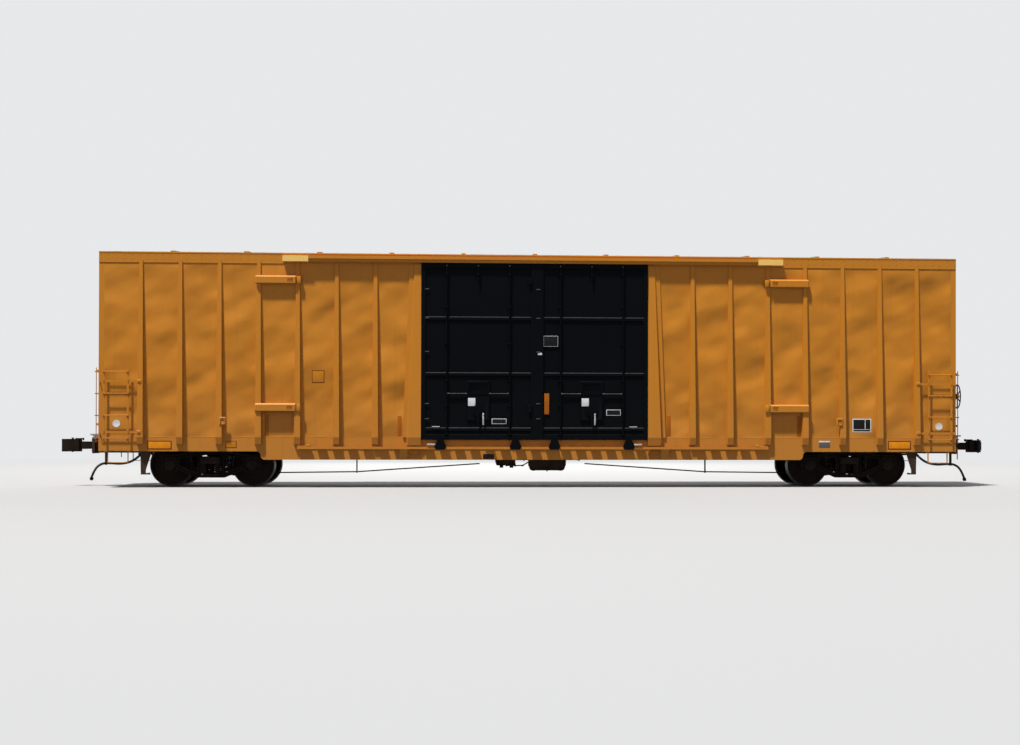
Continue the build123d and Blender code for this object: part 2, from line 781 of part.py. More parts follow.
def corner_post():
    """Angle post at the +X +Y corner, with a sloped inner leg."""
    inner = WALL_IN - CORNER_W
    angle = outline([(INSIDE_HALF, WALL_IN), (INSIDE_HALF + CORNER_DRAFT, inner),
                     (BODY_HALF, inner), (BODY_HALF, WALL_OUT), (INSIDE_HALF, WALL_OUT)])
    post = prism_z(angle, END_LOW, CHORD_TOP)
    return post - block(INSIDE_HALF - OVER, BODY_HALF + OVER, WALL_IN - CHORD_INSIDE - FIT_GAP,
                        WALL_OUT + OVER, CHORD_BOTTOM - FIT_GAP, CHORD_TOP + OVER)


def ridge_z(k):
    """Height of the middle of one end corrugation, counted from the bottom."""
    return END_LOW + END_MARGIN + (k + 0.5) * RIDGE_PITCH


def end_wall(end):
    """Lined end wall with round corrugations pressed outwards, which fade out at their ends."""
    face = INSIDE_HALF + END_T
    half = WALL_IN - CORNER_W - 2
    high = CHORD_TOP + ROOF_RISE
    rise = RIDGE_PITCH * CORRUGATION_SHARE
    wall = block(INSIDE_HALF, face, -half, half, END_LOW, high)
    crest, foot = half - OVER - CORRUGATION_FADE, half - OVER
    beyond = RIDGE_FACE + OVER
    plan = outline([(face - 2 * OVER, -foot), (face, -foot), (beyond, -crest),
                    (beyond, crest), (face, foot), (face - 2 * OVER, foot)])
    for k in range(CORRUGATIONS):
        mid = ridge_z(k)
        arc = ThreePointArc((face - OVER, mid - rise), (RIDGE_FACE, mid),
                            (face - OVER, mid + rise))
        press = make_face(Wire([arc, Line(arc @ 1, arc @ 0)]))
        wall += prism_y(press, -half, half) & prism_z(plan, mid - rise, mid + rise)
    over = outline([(-CHORD_OUT, CHORD_TOP), (0, high), (CHORD_OUT, CHORD_TOP),
                    (CHORD_OUT, high + CHORD_OUT), (-CHORD_OUT, high + CHORD_OUT)])
    return at_end(wall - prism_x(over, INSIDE_HALF - OVER, BODY_HALF + OVER), end)


def roof():
    """Gabled roof sheets with a raised seam cap over each joint."""
    eave = CHORD_OUT + ROOF_EAVE

    def gable(low, high):
        """Roof cross-section between two heights above the eave line."""
        return outline([(-eave, CHORD_TOP + low), (0, CHORD_TOP + low + ROOF_RISE),
                        (eave, CHORD_TOP + low), (eave, CHORD_TOP + high),
                        (0, CHORD_TOP + high + ROOF_RISE), (-eave, CHORD_TOP + high)])

    sheet = prism_x(gable(FIT_GAP, ROOF_T), -BODY_HALF, BODY_HALF)
    pitch = 2 * BODY_HALF / ROOF_PANELS
    for k in range(1, ROOF_PANELS):
        x = -BODY_HALF + k * pitch
        sheet += prism_x(gable(ROOF_T - OVER, ROOF_T + SEAM_H), x - SEAM_W / 2, x + SEAM_W / 2)
    return sheet


# Doors and their gear

def plug_door(end, has_strip):
    """One plug door of the +Y side: plug, pan with pressed ribs, edge frame and joint strip."""
    pan, outer = SILL_OUT + DOOR_GAP, WALL_IN + DOOR_T
    proud = outer + DOOR_RIB_D
    slope = DOOR_RIB_FOOT - DOOR_RIB_FACE
    x0, x1 = DOOR_GAP / 2, DOOR_HALF - DOOR_GAP
    edge = [(pan, DOOR_BOTTOM), (proud, DOOR_BOTTOM), (proud, DOOR_BOTTOM + DOOR_FRAME_H),
            (outer, DOOR_BOTTOM + DOOR_FRAME_H + slope)]
    for z in DOOR_RIB_Z:
        edge += [(outer, z - DOOR_RIB_FOOT), (proud, z - DOOR_RIB_FACE),
                 (proud, z + DOOR_RIB_FACE), (outer, z + DOOR_RIB_FOOT)]
    edge += [(outer, DOOR_TOP - DOOR_FRAME_H - slope), (proud, DOOR_TOP - DOOR_FRAME_H),
             (proud, DOOR_TOP), (pan, DOOR_TOP), (pan, CHORD_BOTTOM - DOOR_GAP),
             (WALL_IN, CHORD_BOTTOM - DOOR_GAP), (WALL_IN, SHEET_BOTTOM + DOOR_GAP),
             (pan, SHEET_BOTTOM + DOOR_GAP)]
    door = prism_x(outline(edge), x0, x1)
    for a, b in ((x0, x0 + DOOR_FRAME_W), (x1 - DOOR_FRAME_W, x1)):
        door += block(a, b, outer - OVER, proud, DOOR_BOTTOM, DOOR_TOP)
    if has_strip:
        face = proud + JOINT_STRIP_GAP
        door += block(x0, JOINT_STRIP_FRONT, proud - OVER, face + OVER, DOOR_BOTTOM, DOOR_TOP)
        door += block(-JOINT_STRIP_BACK, JOINT_STRIP_FRONT, face, face + JOINT_STRIP_T,
                      DOOR_BOTTOM, DOOR_TOP)
    return door if end > 0 else over_x(door)


def door_lock_gear():
    """Two lock rods, a short centre rod and the gear disc with its handle, on one door."""
    face = WALL_IN + DOOR_T + DOOR_RIB_D + FIT_GAP
    parts = []
    for x in (DOOR_MID - ROD_OFFSET, DOOR_MID + ROD_OFFSET):
        rod = Cylinder(ROD_R, DOOR_TOP - DOOR_BOTTOM - 2 * ROD_SHORT)
        parts.append(Pos(x, face + ROD_R, (DOOR_BOTTOM + DOOR_TOP) / 2) * rod)
    top = DOOR_TOP - ROD_SHORT
    parts.append(Pos(DOOR_MID, face + ROD_R, top - CENTRE_ROD_L) * Cylinder(
        ROD_R, CENTRE_ROD_L, align=UP))
    case = block(DOOR_MID - GEAR_CASE_HALF, DOOR_MID + GEAR_CASE_HALF, face - DOOR_RIB_D,
                 face + LINK_OFF, GEAR_Z - GEAR_CASE_LOW, GEAR_Z + GEAR_CASE_HIGH)
    disc = Pos(DOOR_MID, face + LINK_OFF - OVER + GEAR_T / 2, GEAR_Z) * rod_y(GEAR_R, GEAR_T)
    hub = Pos(DOOR_MID, face + GEAR_HUB_L / 2, GEAR_Z) * rod_y(GEAR_HUB_R, GEAR_HUB_L)
    grip = face + GEAR_HUB_L - HANDLE_T
    arm = outline([(DOOR_MID - HANDLE_W / 2, GEAR_Z - HANDLE_L),
                   (DOOR_MID + HANDLE_W / 2, GEAR_Z - HANDLE_L), (DOOR_MID + HANDLE_W, GEAR_Z),
                   (DOOR_MID - HANDLE_W, GEAR_Z)])
    reach = ROD_OFFSET - ROD_R - FIT_GAP
    link = block(DOOR_MID - reach, DOOR_MID + reach, face + LINK_OFF - OVER,
                 face + LINK_OFF + LINK_T, GEAR_Z + LINK_UP, GEAR_Z + LINK_UP + LINK_H)
    parts.append(case + disc + hub + prism_y(arm, grip, grip + HANDLE_T) + link)
    return parts


def door_rollers():
    """Rollers of one door on the lower track, each behind a plate on an arm below the door."""
    parts = []
    back = OUTER_Y - ROLLER_PLATE_T
    low = TRACK_TOP - ROLLER_PLATE_DROP
    axis_z = TRACK_TOP + FIT_GAP + ROLLER_R
    top = DOOR_BOTTOM - FIT_GAP
    for x in (DOOR_MID - ROD_OFFSET - ROLLER_BEYOND_ROD, DOOR_MID + ROD_OFFSET + ROLLER_BEYOND_ROD):
        plate = outline([
            (x - ROLLER_PLATE_LOW, low), (x + ROLLER_PLATE_LOW, low),
            (x + ROLLER_PLATE_MID, axis_z - ROLLER_R), (x + ROLLER_PLATE_HIGH, top),
            (x - ROLLER_PLATE_HIGH, top), (x - ROLLER_PLATE_MID, axis_z - ROLLER_R)])
        piece = prism_y(plate, back, OUTER_Y)
        piece += block(x - ROLLER_ARM_HALF, x + ROLLER_ARM_HALF, WALL_IN + ROLLER_ARM_HALF,
                       back + OVER, top - ROLLER_ARM_H, top)
        piece += Pos(x, back + OVER - ROLLER_W / 2, axis_z) * rod_y(ROLLER_R, ROLLER_W)
        parts.append(piece)
    return parts


def upper_rail():
    """Hooded guide rail over the +Y doors, with a closed box at each end."""
    mid = RAIL_HALF - RAIL_CLOSED
    back = CHORD_OUT + FIT_GAP
    under = RAIL_TOP - PLATE
    guide = OUTER_Y - RAIL_GUIDE_INSET
    hood = outline([
        (back, RAIL_BOTTOM), (back, RAIL_TOP), (OUTER_Y, RAIL_TOP), (OUTER_Y, RAIL_TOP - RAIL_LIP_H),
        (OUTER_Y - PLATE, RAIL_TOP - RAIL_LIP_H), (OUTER_Y - PLATE, under), (guide, under),
        (guide, RAIL_BOTTOM), (guide - PLATE, RAIL_BOTTOM), (guide - PLATE, under),
        (back + PLATE, under), (back + PLATE, RAIL_BOTTOM)])
    box = outline([
        (back, RAIL_BOTTOM), (back, RAIL_TOP), (OUTER_Y, RAIL_TOP), (OUTER_Y, RAIL_BOTTOM),
        (OUTER_Y - PLATE, RAIL_BOTTOM), (OUTER_Y - PLATE, under), (back + PLATE, under),
        (back + PLATE, RAIL_BOTTOM)])
    rail = prism_x(hood, -mid, mid)
    closed = prism_x(box, mid, RAIL_HALF)
    closed += block(RAIL_HALF - PLATE, RAIL_HALF, back, OUTER_Y, RAIL_BOTTOM, RAIL_TOP)
    return rail + closed + over_x(closed)


def lower_track():
    """Slotted shelf with a running rail for the +Y doors, on a gusset beside each door post."""
    face = SILL_OUT + FIT_GAP
    outer = OUTER_Y - TRACK_INSET
    inner = outer - TRACK_RAIL_W
    low = TRACK_TOP - TRACK_SHELF_LOW
    foot = TRACK_TOP - TRACK_RAIL_H
    section = outline([
        (face, low), (face, low + PLATE), (inner, low + PLATE), (inner, TRACK_TOP),
        (outer, TRACK_TOP), (outer, foot), (inner, foot), (inner, low)])
    track = prism_x(section, -TRACK_HALF, TRACK_HALF)
    count = int(2 * TRACK_HALF / TRACK_PITCH) - 1
    slots = []
    for k in range(count):
        x = (k - (count - 1) / 2) * TRACK_PITCH
        slots.append(block(x - TRACK_SLOT / 2, x + TRACK_SLOT / 2, face + TRACK_BACK, inner,
                           low - OVER, TRACK_TOP))
    track -= slots
    gusset = outline([(face, low + OVER), ((inner + outer) / 2, low + OVER),
                      (face + GUSSET_FOOT, low - GUSSET_H), (face, low - GUSSET_H)])
    start = DOOR_HALF + GUSSET_FROM_DOOR
    wedge = prism_x(gusset, start, start + GUSSET_L)
    return track + wedge + over_x(wedge)


def door_stop(z):
    """Channel across the third and fourth posts that stops an open door, padded at its end."""
    x0, x1 = POST_X[2] - STOP_PAST, POST_X[3] + STOP_PAST
    face = WALL_OUT + post_depth(z) + FIT_GAP + STOP_SEAT
    top = min(face + STOP_D, OUTER_Y)
    low, high = z - STOP_H / 2, z + STOP_H / 2
    section = outline([(face, low), (top, low), (top, high), (face, high), (face, high - STOP_T),
                       (top - STOP_T, high - STOP_T), (top - STOP_T, low + STOP_T),
                       (face, low + STOP_T)])
    return prism_x(section, x0, x1) + block(x0, x0 + STOP_PAD, face, top - OVER, low, high)


# Ladders, steps and platforms

def rung(length):
    """One ladder rung along X about the origin."""
    bar_end = Plane.YZ.offset(-length / 2) * RegularPolygon(RUNG_R, RUNG_SIDES)
    return extrude(bar_end, length)


def side_ladder():
    """Four-rung ladder at the +X +Y corner, on two arms from corner post to last post."""
    y = WALL_OUT + LADDER_OFF
    x0, x1 = (BODY_HALF - gap for gap in LADDER_FROM_END)
    low, high = RUNG_Z[0] - STILE_PAST, RUNG_Z[-1] + STILE_PAST
    ladder = block(x0 - STILE_W / 2, x0 + STILE_W / 2, y, y + STILE_T, low, high)
    ladder += block(x1 - STILE_W / 2, x1 + STILE_W / 2, y, y + STILE_T, low, high)
    for z in RUNG_Z:
        ladder += Pos((x0 + x1) / 2, y + STILE_T / 2 + RUNG_R, z) * rung(x1 - x0 + 30)
    far = BODY_HALF - CHORD_INSIDE
    for z in LADDER_ARM_Z:
        low, high = z - ARM_H / 2, z + ARM_H / 2
        web_x = POST_X[-1] + post_edge(low, y - STILE_T) + FIT_GAP
        ladder += block(web_x, far, y - STILE_T, y, low, high)
        ladder += block(far - STILE_T, far, WALL_OUT + FIT_GAP, y, low, high)
    return ladder


def sill_step():
    """U-shaped strap step below the side sill at the +X +Y corner."""
    x0, x1 = (BODY_HALF - gap for gap in STEP_FROM_END)
    y = SILL_OUT - STEP_INSET
    low, high = STEP_BOTTOM, SILL_END_BOTTOM - FIT_GAP
    strap = outline([
        (x0 - STEP_FOOT, high), (x0 - STEP_FOOT, high - STEP_T), (x0, high - STEP_T), (x0, low),
        (x1, low), (x1, high - STEP_T), (x1 + STEP_FOOT, high - STEP_T), (x1 + STEP_FOOT, high),
        (x1 - STEP_T, high), (x1 - STEP_T, low + STEP_T), (x0 + STEP_T, low + STEP_T),
        (x0 + STEP_T, high)])
    return prism_y(strap, y - STEP_W / 2, y + STEP_W / 2)


def end_ladder():
    """Four-rung ladder on the +X end beside the +Y corner, on two pairs of arms."""
    near = BODY_HALF + FIT_GAP
    x = near + END_LADDER_OFF
    y1 = WALL_IN - 30
    y0 = y1 - END_LADDER_W
    low, high = RUNG_Z[0] - STILE_PAST, RUNG_Z[-1] + STILE_PAST
    ladder = block(x - STILE_T, x, y0, y0 + STILE_W, low, high)
    ladder += block(x - STILE_T, x, y1 - STILE_W, y1, low, high)
    for z in RUNG_Z:
        turned = Rot(0, 0, 90) * rung(END_LADDER_W - 10)
        ladder += Pos(x - STILE_T / 2 + RUNG_R, (y0 + y1) / 2, z) * turned
    arm_x = x - STILE_T
    for z in (ridge_z(0), ridge_z(3)):
        low, high = z - ARM_H / 2, z + ARM_H / 2
        ladder += block(arm_x - STILE_T, arm_x, y0, y1, low, high)
        ladder += block(near, arm_x, y1 - 10, y1, low, high)
        ladder += block(RIDGE_FACE + FIT_GAP, arm_x, y0, y0 + 10, low, high)
    return ladder


def end_platform():
    """Open-grid crossing platform over the coupler at the +X end, on two brackets."""
    x0, x1 = BODY_HALF + FIT_GAP, BODY_HALF + PLATFORM_REACH
    low = DECK_TOP + PLATFORM_LIFT
    high = low + PLATFORM_T
    half, edge = PLATFORM_HALF, PLATFORM_EDGE
    deck = block(x0, x1, -half, half, low, high)
    deck -= block(x0 + edge, x1 - edge, -half + edge, half - edge, low - OVER, high + OVER)
    pitch = (x1 - x0 - 2 * edge) / PLATFORM_SLATS
    for k in range(PLATFORM_SLATS):
        x = x0 + edge + (k + 0.5) * pitch
        deck += block(x - PLATFORM_SLAT_T / 2, x + PLATFORM_SLAT_T / 2, -half + edge / 2,
                      half - edge / 2, low, high)
    for y in (-PLATFORM_RIB_Y, 0.0, PLATFORM_RIB_Y):
        deck += block(x0, x1, y - PLATFORM_RIB_T / 2, y + PLATFORM_RIB_T / 2, low, high - 2)
    brace = outline([(x0, low - PLATFORM_BRACE), (x0, low), (x1 - 20, low), (x1 - 20, low - 20)])
    for y in (-PLATFORM_RIB_Y, PLATFORM_RIB_Y):
        deck += prism_y(brace, y - PLATFORM_RIB_T / 2, y + PLATFORM_RIB_T / 2)
    return deck


# Hand brake and air brake gear

def hand_brake_housing():
    """Gear case of the hand brake on two mounting bars, with its shaft."""
    x0 = RIDGE_FACE + FIT_GAP
    front = x0 + PLATE + BRAKE_CASE_T
    half, narrow = BRAKE_CASE_W / 2, BRAKE_CASE_NARROW / 2
    case = outline([
        (BRAKE_Y - half, BRAKE_Z + BRAKE_CASE_UP), (BRAKE_Y + half, BRAKE_Z + BRAKE_CASE_UP),
        (BRAKE_Y + half, BRAKE_Z - narrow), (BRAKE_Y + narrow, BRAKE_Z - BRAKE_CASE_DOWN),
        (BRAKE_Y - narrow, BRAKE_Z - BRAKE_CASE_DOWN), (BRAKE_Y - half, BRAKE_Z - narrow)])
    housing = prism_x(fillet(case.vertices(), BRAKE_CASE_R), x0 + PLATE - OVER, front)
    for y in (BRAKE_Y - BRAKE_BAR_Y, BRAKE_Y + BRAKE_BAR_Y):
        housing += block(x0, x0 + PLATE, y - BRAKE_BAR_W / 2, y + BRAKE_BAR_W / 2,
                         BRAKE_Z - BRAKE_BAR_HALF, BRAKE_Z + BRAKE_BAR_HALF)
    hub = BODY_HALF + BRAKE_WHEEL_FROM_END - BRAKE_HUB_L / 2 - FIT_GAP
    shaft = Pos((front - OVER + hub) / 2, BRAKE_Y, BRAKE_Z) * rod_x(BRAKE_SHAFT_R,
                                                                     hub - front + OVER)
    return housing + shaft


def hand_brake_wheel():
    """Spoked wheel of the hand brake."""
    rim = Pos(0, BRAKE_WHEEL_R - BRAKE_RIM / 2) * RegularPolygon(BRAKE_RIM / 2, 6)
    wheel = revolve(rim, Axis.X) + rod_x(BRAKE_HUB_R, BRAKE_HUB_L)
    for k in range(BRAKE_SPOKES):
        spoke = Pos(0, 0, BRAKE_WHEEL_R / 2) * Box(BRAKE_SPOKE_T, BRAKE_SPOKE_W,
                                                   BRAKE_WHEEL_R - 1.5 * BRAKE_RIM)
        wheel += Rot(360 / BRAKE_SPOKES * k, 0, 0) * spoke
    return Pos(BODY_HALF + BRAKE_WHEEL_FROM_END, BRAKE_Y, BRAKE_Z) * wheel


def dished(half, radius, dome):
    """Cylinder along X with domed ends."""
    inner = half - dome
    return revolve(outline([(-half, 0), (-half, radius * 0.35), (dome * 0.5 - half, radius * 0.85),
                            (-inner, radius), (inner, radius), (half - dome * 0.5, radius * 0.85),
                            (half, radius * 0.35), (half, 0)]), Axis.X)


def air_reservoir():
    """Air tank with dished ends, hung by two straps from the middle cross beams."""
    x = CROSS_FIRST / 2
    tank = Pos(x, TANK_Y, TANK_Z) * dished(TANK_HALF, TANK_R, TANK_DOME)
    top = cross_bottom(abs(TANK_Y) - TANK_HANGER_W / 2, CROSS_DEPTH) - FIT_GAP
    for strap in (0.0, CROSS_FIRST):
        tank += Pos(strap, TANK_Y, TANK_Z) * rod_x(TANK_R + TANK_STRAP_T, TANK_STRAP_W)
        tank += block(strap - TANK_STRAP_W / 2, strap + TANK_STRAP_W / 2,
                      TANK_Y - TANK_HANGER_W / 2, TANK_Y + TANK_HANGER_W / 2, TANK_Z, top)
    return tank


def brake_cylinder():
    """Air cylinder with its flange and push rod, hung from a cross beam."""
    flange_x = CYLINDER_HALF - CYLINDER_FLANGE_T / 2
    body = dished(CYLINDER_HALF, CYLINDER_R, CYLINDER_DOME)
    body += Pos(flange_x, 0, 0) * rod_x(CYLINDER_FLANGE_R, CYLINDER_FLANGE_T)
    body += Pos(flange_x + CYLINDER_ROD_L / 2, 0, 0) * rod_x(CYLINDER_ROD_R, CYLINDER_ROD_L)
    top = cross_bottom(CYLINDER_Y - TANK_HANGER_W / 2, CROSS_DEPTH) - FIT_GAP
    hanger = block(CYLINDER_X - TANK_HANGER_W / 2, CYLINDER_X + TANK_HANGER_W / 2,
                   CYLINDER_Y - TANK_HANGER_W / 2, CYLINDER_Y + TANK_HANGER_W / 2,
                   CYLINDER_Z + CYLINDER_R / 2, top)
    return Pos(CYLINDER_X, CYLINDER_Y, CYLINDER_Z) * body + hanger


def control_valve():
    """Pipe bracket with a valve portion bolted to each face, hung from a cross beam."""
    x, y = VALVE_X, VALVE_Y
    valve = block(x - VALVE_L / 2, x + VALVE_L / 2, y - VALVE_W / 2, y + VALVE_W / 2,
                  VALVE_LOW, VALVE_HIGH)
    for side in (-1, 1):
        valve += Pos(x + side * VALVE_HEAD_X, y, (VALVE_LOW + VALVE_HIGH) / 2 - 20) * rod_x(
            VALVE_HEAD_R, VALVE_HEAD_L)
        valve += Pos(x + side * VALVE_CUP_X, y, VALVE_LOW - 20) * Cylinder(VALVE_CUP_R, VALVE_CUP_L)
    half = VALVE_HANGER_W / 2
    top = cross_bottom(abs(y) - half, CROSS_DEPTH) - FIT_GAP
    return valve + block(x - half, x + half, y - half, y + half, VALVE_HIGH - OVER, top)


def brake_pipe():
    """Air pipe under the car, clipped to the deep cross beams, with an end cock at each end."""
    pipe = Pos(0, PIPE_Y, PIPE_Z) * rod_x(PIPE_R, 2 * PIPE_END - 80)
    half = PIPE_CLIP / 2
    for x, deep in CROSSBEARERS:
        if deep == CROSS_DEPTH and x > 0:
            clip = block(x - half, x + half, PIPE_Y - half, PIPE_Y + half, PIPE_Z,
                         cross_bottom(PIPE_Y + half, deep) - FIT_GAP)
            pipe += clip + over_x(clip)
    start, after = hose_points()[:2]
    aim = (after - start).normalized()
    neck = Plane(origin=start - aim * COCK_NECK, z_dir=aim) * Cylinder(
        HOSE_R + 4, COCK_NECK - FIT_GAP, align=UP)
    cock = Pos(PIPE_END - COCK_L / 3, PIPE_Y, PIPE_Z) * Box(COCK_L, COCK_W, COCK_H)
    end = neck + cock
    return pipe + end + at_end(end, -1)


def brake_rod(end):
    """Pull rod from the middle of the car to a truck, with its hanger on the centre sill."""
    tip, bend = ((TRUCK_X - gap, z) for gap, z in ROD_ENDS)
    rod = bar([(tip[0], 0, tip[1]), (bend[0], 0, bend[1]), (ROD_MIDDLE[0], 0, ROD_MIDDLE[1])],
              PULL_ROD_R)
    seat = bend[1] - PULL_ROD_R - FIT_GAP
    x0, x1 = bend[0] - ROD_HANGER_L / 2, bend[0] + ROD_HANGER_L / 2
    half = ROD_HANGER_W / 2
    ring = block(x0, x1, -half, half, seat - ROD_HANGER_T + OVER, SILL_LOW + ROD_HANGER_T)
    ring -= block(x0 - OVER, x1 + OVER, -half + ROD_HANGER_T, half - ROD_HANGER_T, seat, SILL_LOW)
    inner = SILL_INSIDE / 2 - FIT_GAP
    ring += block(x0, x1, -inner, inner, SILL_LOW, SILL_LOW + ROD_HANGER_T)
    return at_end(rod + ring, end)


def uncoupling_lever(end):
    """Lever along the end sill, with its handle at the corner, in two brackets."""
    x = BODY_HALF + LEVER_OFF
    corner = -(WALL_IN - LEVER_FROM_SIDE)
    tip = (BODY_HALF + LEVER_TIP[0], LEVER_TIP[1], LEVER_TIP[2])
    lever = bar([(x, corner, LEVER_GRIP_Z), (x, corner, LEVER_Z), (x, LEVER_INNER_Y, LEVER_Z), tip],
                LEVER_R)
    half = LEVER_BRACKET / 2
    for inset in LEVER_BRACKETS:
        y = inset - WALL_IN
        lever += block(BODY_HALF + FIT_GAP, x + half, y - half, y + half, LEVER_Z - half,
                       LEVER_Z + half)
    return at_end(lever, end)


def hose_points():
    """Points of the air hose's route at the +X end."""
    return [Vector(BODY_HALF + along, PIPE_Y, z) for along, z in HOSE_ROUTE]


def air_hose(end):
    """Rubber hose from the end cock to the coupling that joins the next car's."""
    points = hose_points()
    radii = []
    for before, here, after in zip(points, points[1:], points[2:]):
        into, out = here - before, after - here
        turn = math.radians(into.get_angle(out))
        radii.append(0.45 * min(into.length, out.length) / math.tan(turn / 2))
    print("air hose radii", [round(r) for r in radii])
    path = FilletPolyline(*points, radius=radii)
    tube = sweep(Plane(origin=path @ 0, z_dir=path % 0) * Circle(HOSE_R), path=path)
    print("air hose length", round(path.length), "volume ratio",
          round(tube.volume / (path.length * math.pi * HOSE_R ** 2), 4))
    return at_end(tube, end)


def hose_coupling(end):
    """Hook-faced coupling on the free end of an air hose."""
    before, tip = hose_points()[-2:]
    along = (tip - before).normalized()
    neck = Plane(origin=tip + along * FIT_GAP, z_dir=along) * Cylinder(
        COUPLING_NECK_R, COUPLING_NECK_L, align=UP)
    head = Pos(tip.X + SILL_T, tip.Y - COUPLING_W / 2, tip.Z - COUPLING_DROP) * rod_y(
        COUPLING_R, COUPLING_W)
    return at_end(neck + head, end)


def hose_hanger(end):
    """Strap from the centre sill's foot that cradles the air hose."""
    one, two = hose_points()[HANGER_RUN:HANGER_RUN + 2]
    middle = (one + two) / 2
    slope = abs(two.Z - one.Z) / (two.X - one.X)
    low = middle.Z - HOSE_R - FIT_GAP - HANGER_L / 2 * slope
    x0, x1 = middle.X - HANGER_L / 2, middle.X + HANGER_L / 2
    y0, y1 = PIPE_Y - HOSE_R - HANGER_WALL, PIPE_Y + HOSE_R + HANGER_WALL
    strap = block(x0, x1, y0, y1, low - HANGER_T, SILL_LOW + HANGER_T)
    strap -= block(x0 - OVER, x1 + OVER, y0 + HANGER_T, y1 - HANGER_T, low, SILL_LOW)
    sill = -SILL_INSIDE / 2 - SILL_WEB - SILL_FOOT - FIT_GAP
    strap += block(x0, x1, y0, sill, SILL_LOW, SILL_LOW + HANGER_T)
    return at_end(strap, end)


# Trucks, each drawn round its centre

def side_frame():
    """Cast side frame of the +Y side: arch, columns, pedestals, spring seat and beam guides."""
    reach = WHEELBASE / 2
    jaw = BEARING_R + FRAME_JAW
    roof_z = AXLE_Z + BEARING_R + ADAPTER_T
    shoulder, tip = reach - jaw - FRAME_SIDE, reach + jaw + FRAME_LIP
    lip_z = AXLE_Z - FRAME_LIP_DROP
    half = [(FRAME_TOP_HALF, FRAME_TOP), (shoulder, roof_z + FRAME_ARCH), (tip - 40, roof_z + 70),
            (tip, roof_z + 20), (tip, lip_z), (reach + jaw, lip_z), (reach + jaw, roof_z),
            (reach - jaw, roof_z), (reach - jaw, AXLE_Z - 70), (shoulder, AXLE_Z - 100),
            (FRAME_BOTTOM_HALF, FRAME_BOTTOM)]
    body = outline(half + [(-x, z) for x, z in reversed(half)])
    cast = [v for v in body.vertices() if abs(v.X) < shoulder + OVER]
    body = fillet(cast, FRAME_R)
    column = COLUMN_X + COLUMN_T
    arch_z = FRAME_TOP - COLUMN_TOP
    pocket = Pos(0, (SPRING_SEAT + arch_z) / 2) * Rectangle(2 * COLUMN_X, arch_z - SPRING_SEAT)
    window = outline([(column, SPRING_SEAT + 24), (column, arch_z - 12),
                      (shoulder - FRAME_JAW, roof_z - 6), (shoulder - FRAME_JAW, AXLE_Z - 10)])
    window = fillet(window.vertices(), WINDOW_R)
    windows = window + mirror(window, about=Plane.YZ)
    frame = prism_y(body - pocket - windows, -FRAME_W / 2, FRAME_W / 2)
    core = offset(body, -FRAME_RIM, kind=Kind.INTERSECTION)
    core -= offset(pocket, FRAME_RIM, kind=Kind.INTERSECTION)
    core -= offset(windows, FRAME_RIM, kind=Kind.INTERSECTION)
    for x in (-reach, reach):
        core -= Pos(x, AXLE_Z) * Rectangle(2 * (jaw + FRAME_RIM), 2 * (roof_z - AXLE_Z + FRAME_RIM))
    frame -= prism_y(core, FRAME_WEB / 2, FRAME_W / 2 + OVER)
    frame -= prism_y(core, -FRAME_W / 2 - OVER, -FRAME_WEB / 2)
    frame += block(-COLUMN_X + FRAME_JAW, COLUMN_X - FRAME_JAW, -SEAT_W / 2, SEAT_W / 2,
                   SPRING_SEAT - SEAT_T, SPRING_SEAT)
    guide = beam_guide()
    return Pos(0, BEARING_Y, 0) * (frame + guide + over_x(guide))


def beam_guide():
    """Bracket on the side frame's inner face, open towards the wheel, that holds a brake beam."""
    inside = -FRAME_W / 2
    grip = BEAM_H / 2 + FIT_GAP
    outer = grip + GUIDE_WALL
    far = BEAM_X + 70
    guide = block(COLUMN_X + 12, far, inside - GUIDE_D, inside + 10, BEAM_Z - outer, BEAM_Z + outer)
    return guide - block(COLUMN_X + 40, far + OVER, inside - GUIDE_D - OVER, inside - GUIDE_T,
                         BEAM_Z - grip, BEAM_Z + grip)


def truck_bolster():
    """Cast fish-belly beam between the side frames with the centre bowl and side bearings."""
    half_w = BOLSTER_W / 2
    end_y = BEARING_Y + BOLSTER_END
    low = SPRING_SEAT + SPRING_H + 2 * FIT_GAP
    top = CENTRE_PLATE_Z - BOWL_FLOOR
    profile = outline([
        (0, BOLSTER_BELLY_Z), (BOLSTER_BELLY_Y, BOLSTER_BELLY_Z), (BOLSTER_ARM_Y, low), (end_y, low),
        (end_y, low + BOLSTER_END_H), (BOLSTER_ARM_Y, low + BOLSTER_END_H + 10),
        (BOLSTER_SHOULDER_Y, top), (0, top)])
    beam = prism_x(profile, -half_w, half_w)
    for s in (-1, 1):
        for y0, y1 in BOLSTER_HOLES:
            beam -= Pos(s * half_w, (y0 + y1) / 2, low + 40) * Box(
                2 * BOLSTER_HOLE_D, y1 - y0, BOLSTER_HOLE_H)
    beam += over_y(beam)
    bowl = Cylinder(CENTRE_PLATE_R + BOWL_WALL, BOWL_H, align=UP)
    bowl -= Pos(0, 0, BOWL_FLOOR - FIT_GAP) * Cylinder(CENTRE_PLATE_R + BOWL_GAP, BOWL_H, align=UP)
    beam += Pos(0, 0, top) * bowl
    half_b = SIDE_BEARING_W / 2
    pad = block(-half_b, half_b, SIDE_BEARING_Y - half_b, SIDE_BEARING_Y + half_b, low + 120,
                SILL_LOW + SILL_WEB - 8)
    return beam + pad + over_y(pad)


def spring_nest():
    """Coil springs under one bolster end, in a ring of four round a fifth, as plain cylinders."""
    coils = []
    for dx, dy in ((-1, -1), (1, -1), (-1, 1), (1, 1), (0, 0)):
        coils.append(Pos(dx * SPRING_X, BEARING_Y + dy * SPRING_Y, SPRING_SEAT + FIT_GAP) * Cylinder(
            SPRING_R, SPRING_H, align=UP))
    return coils


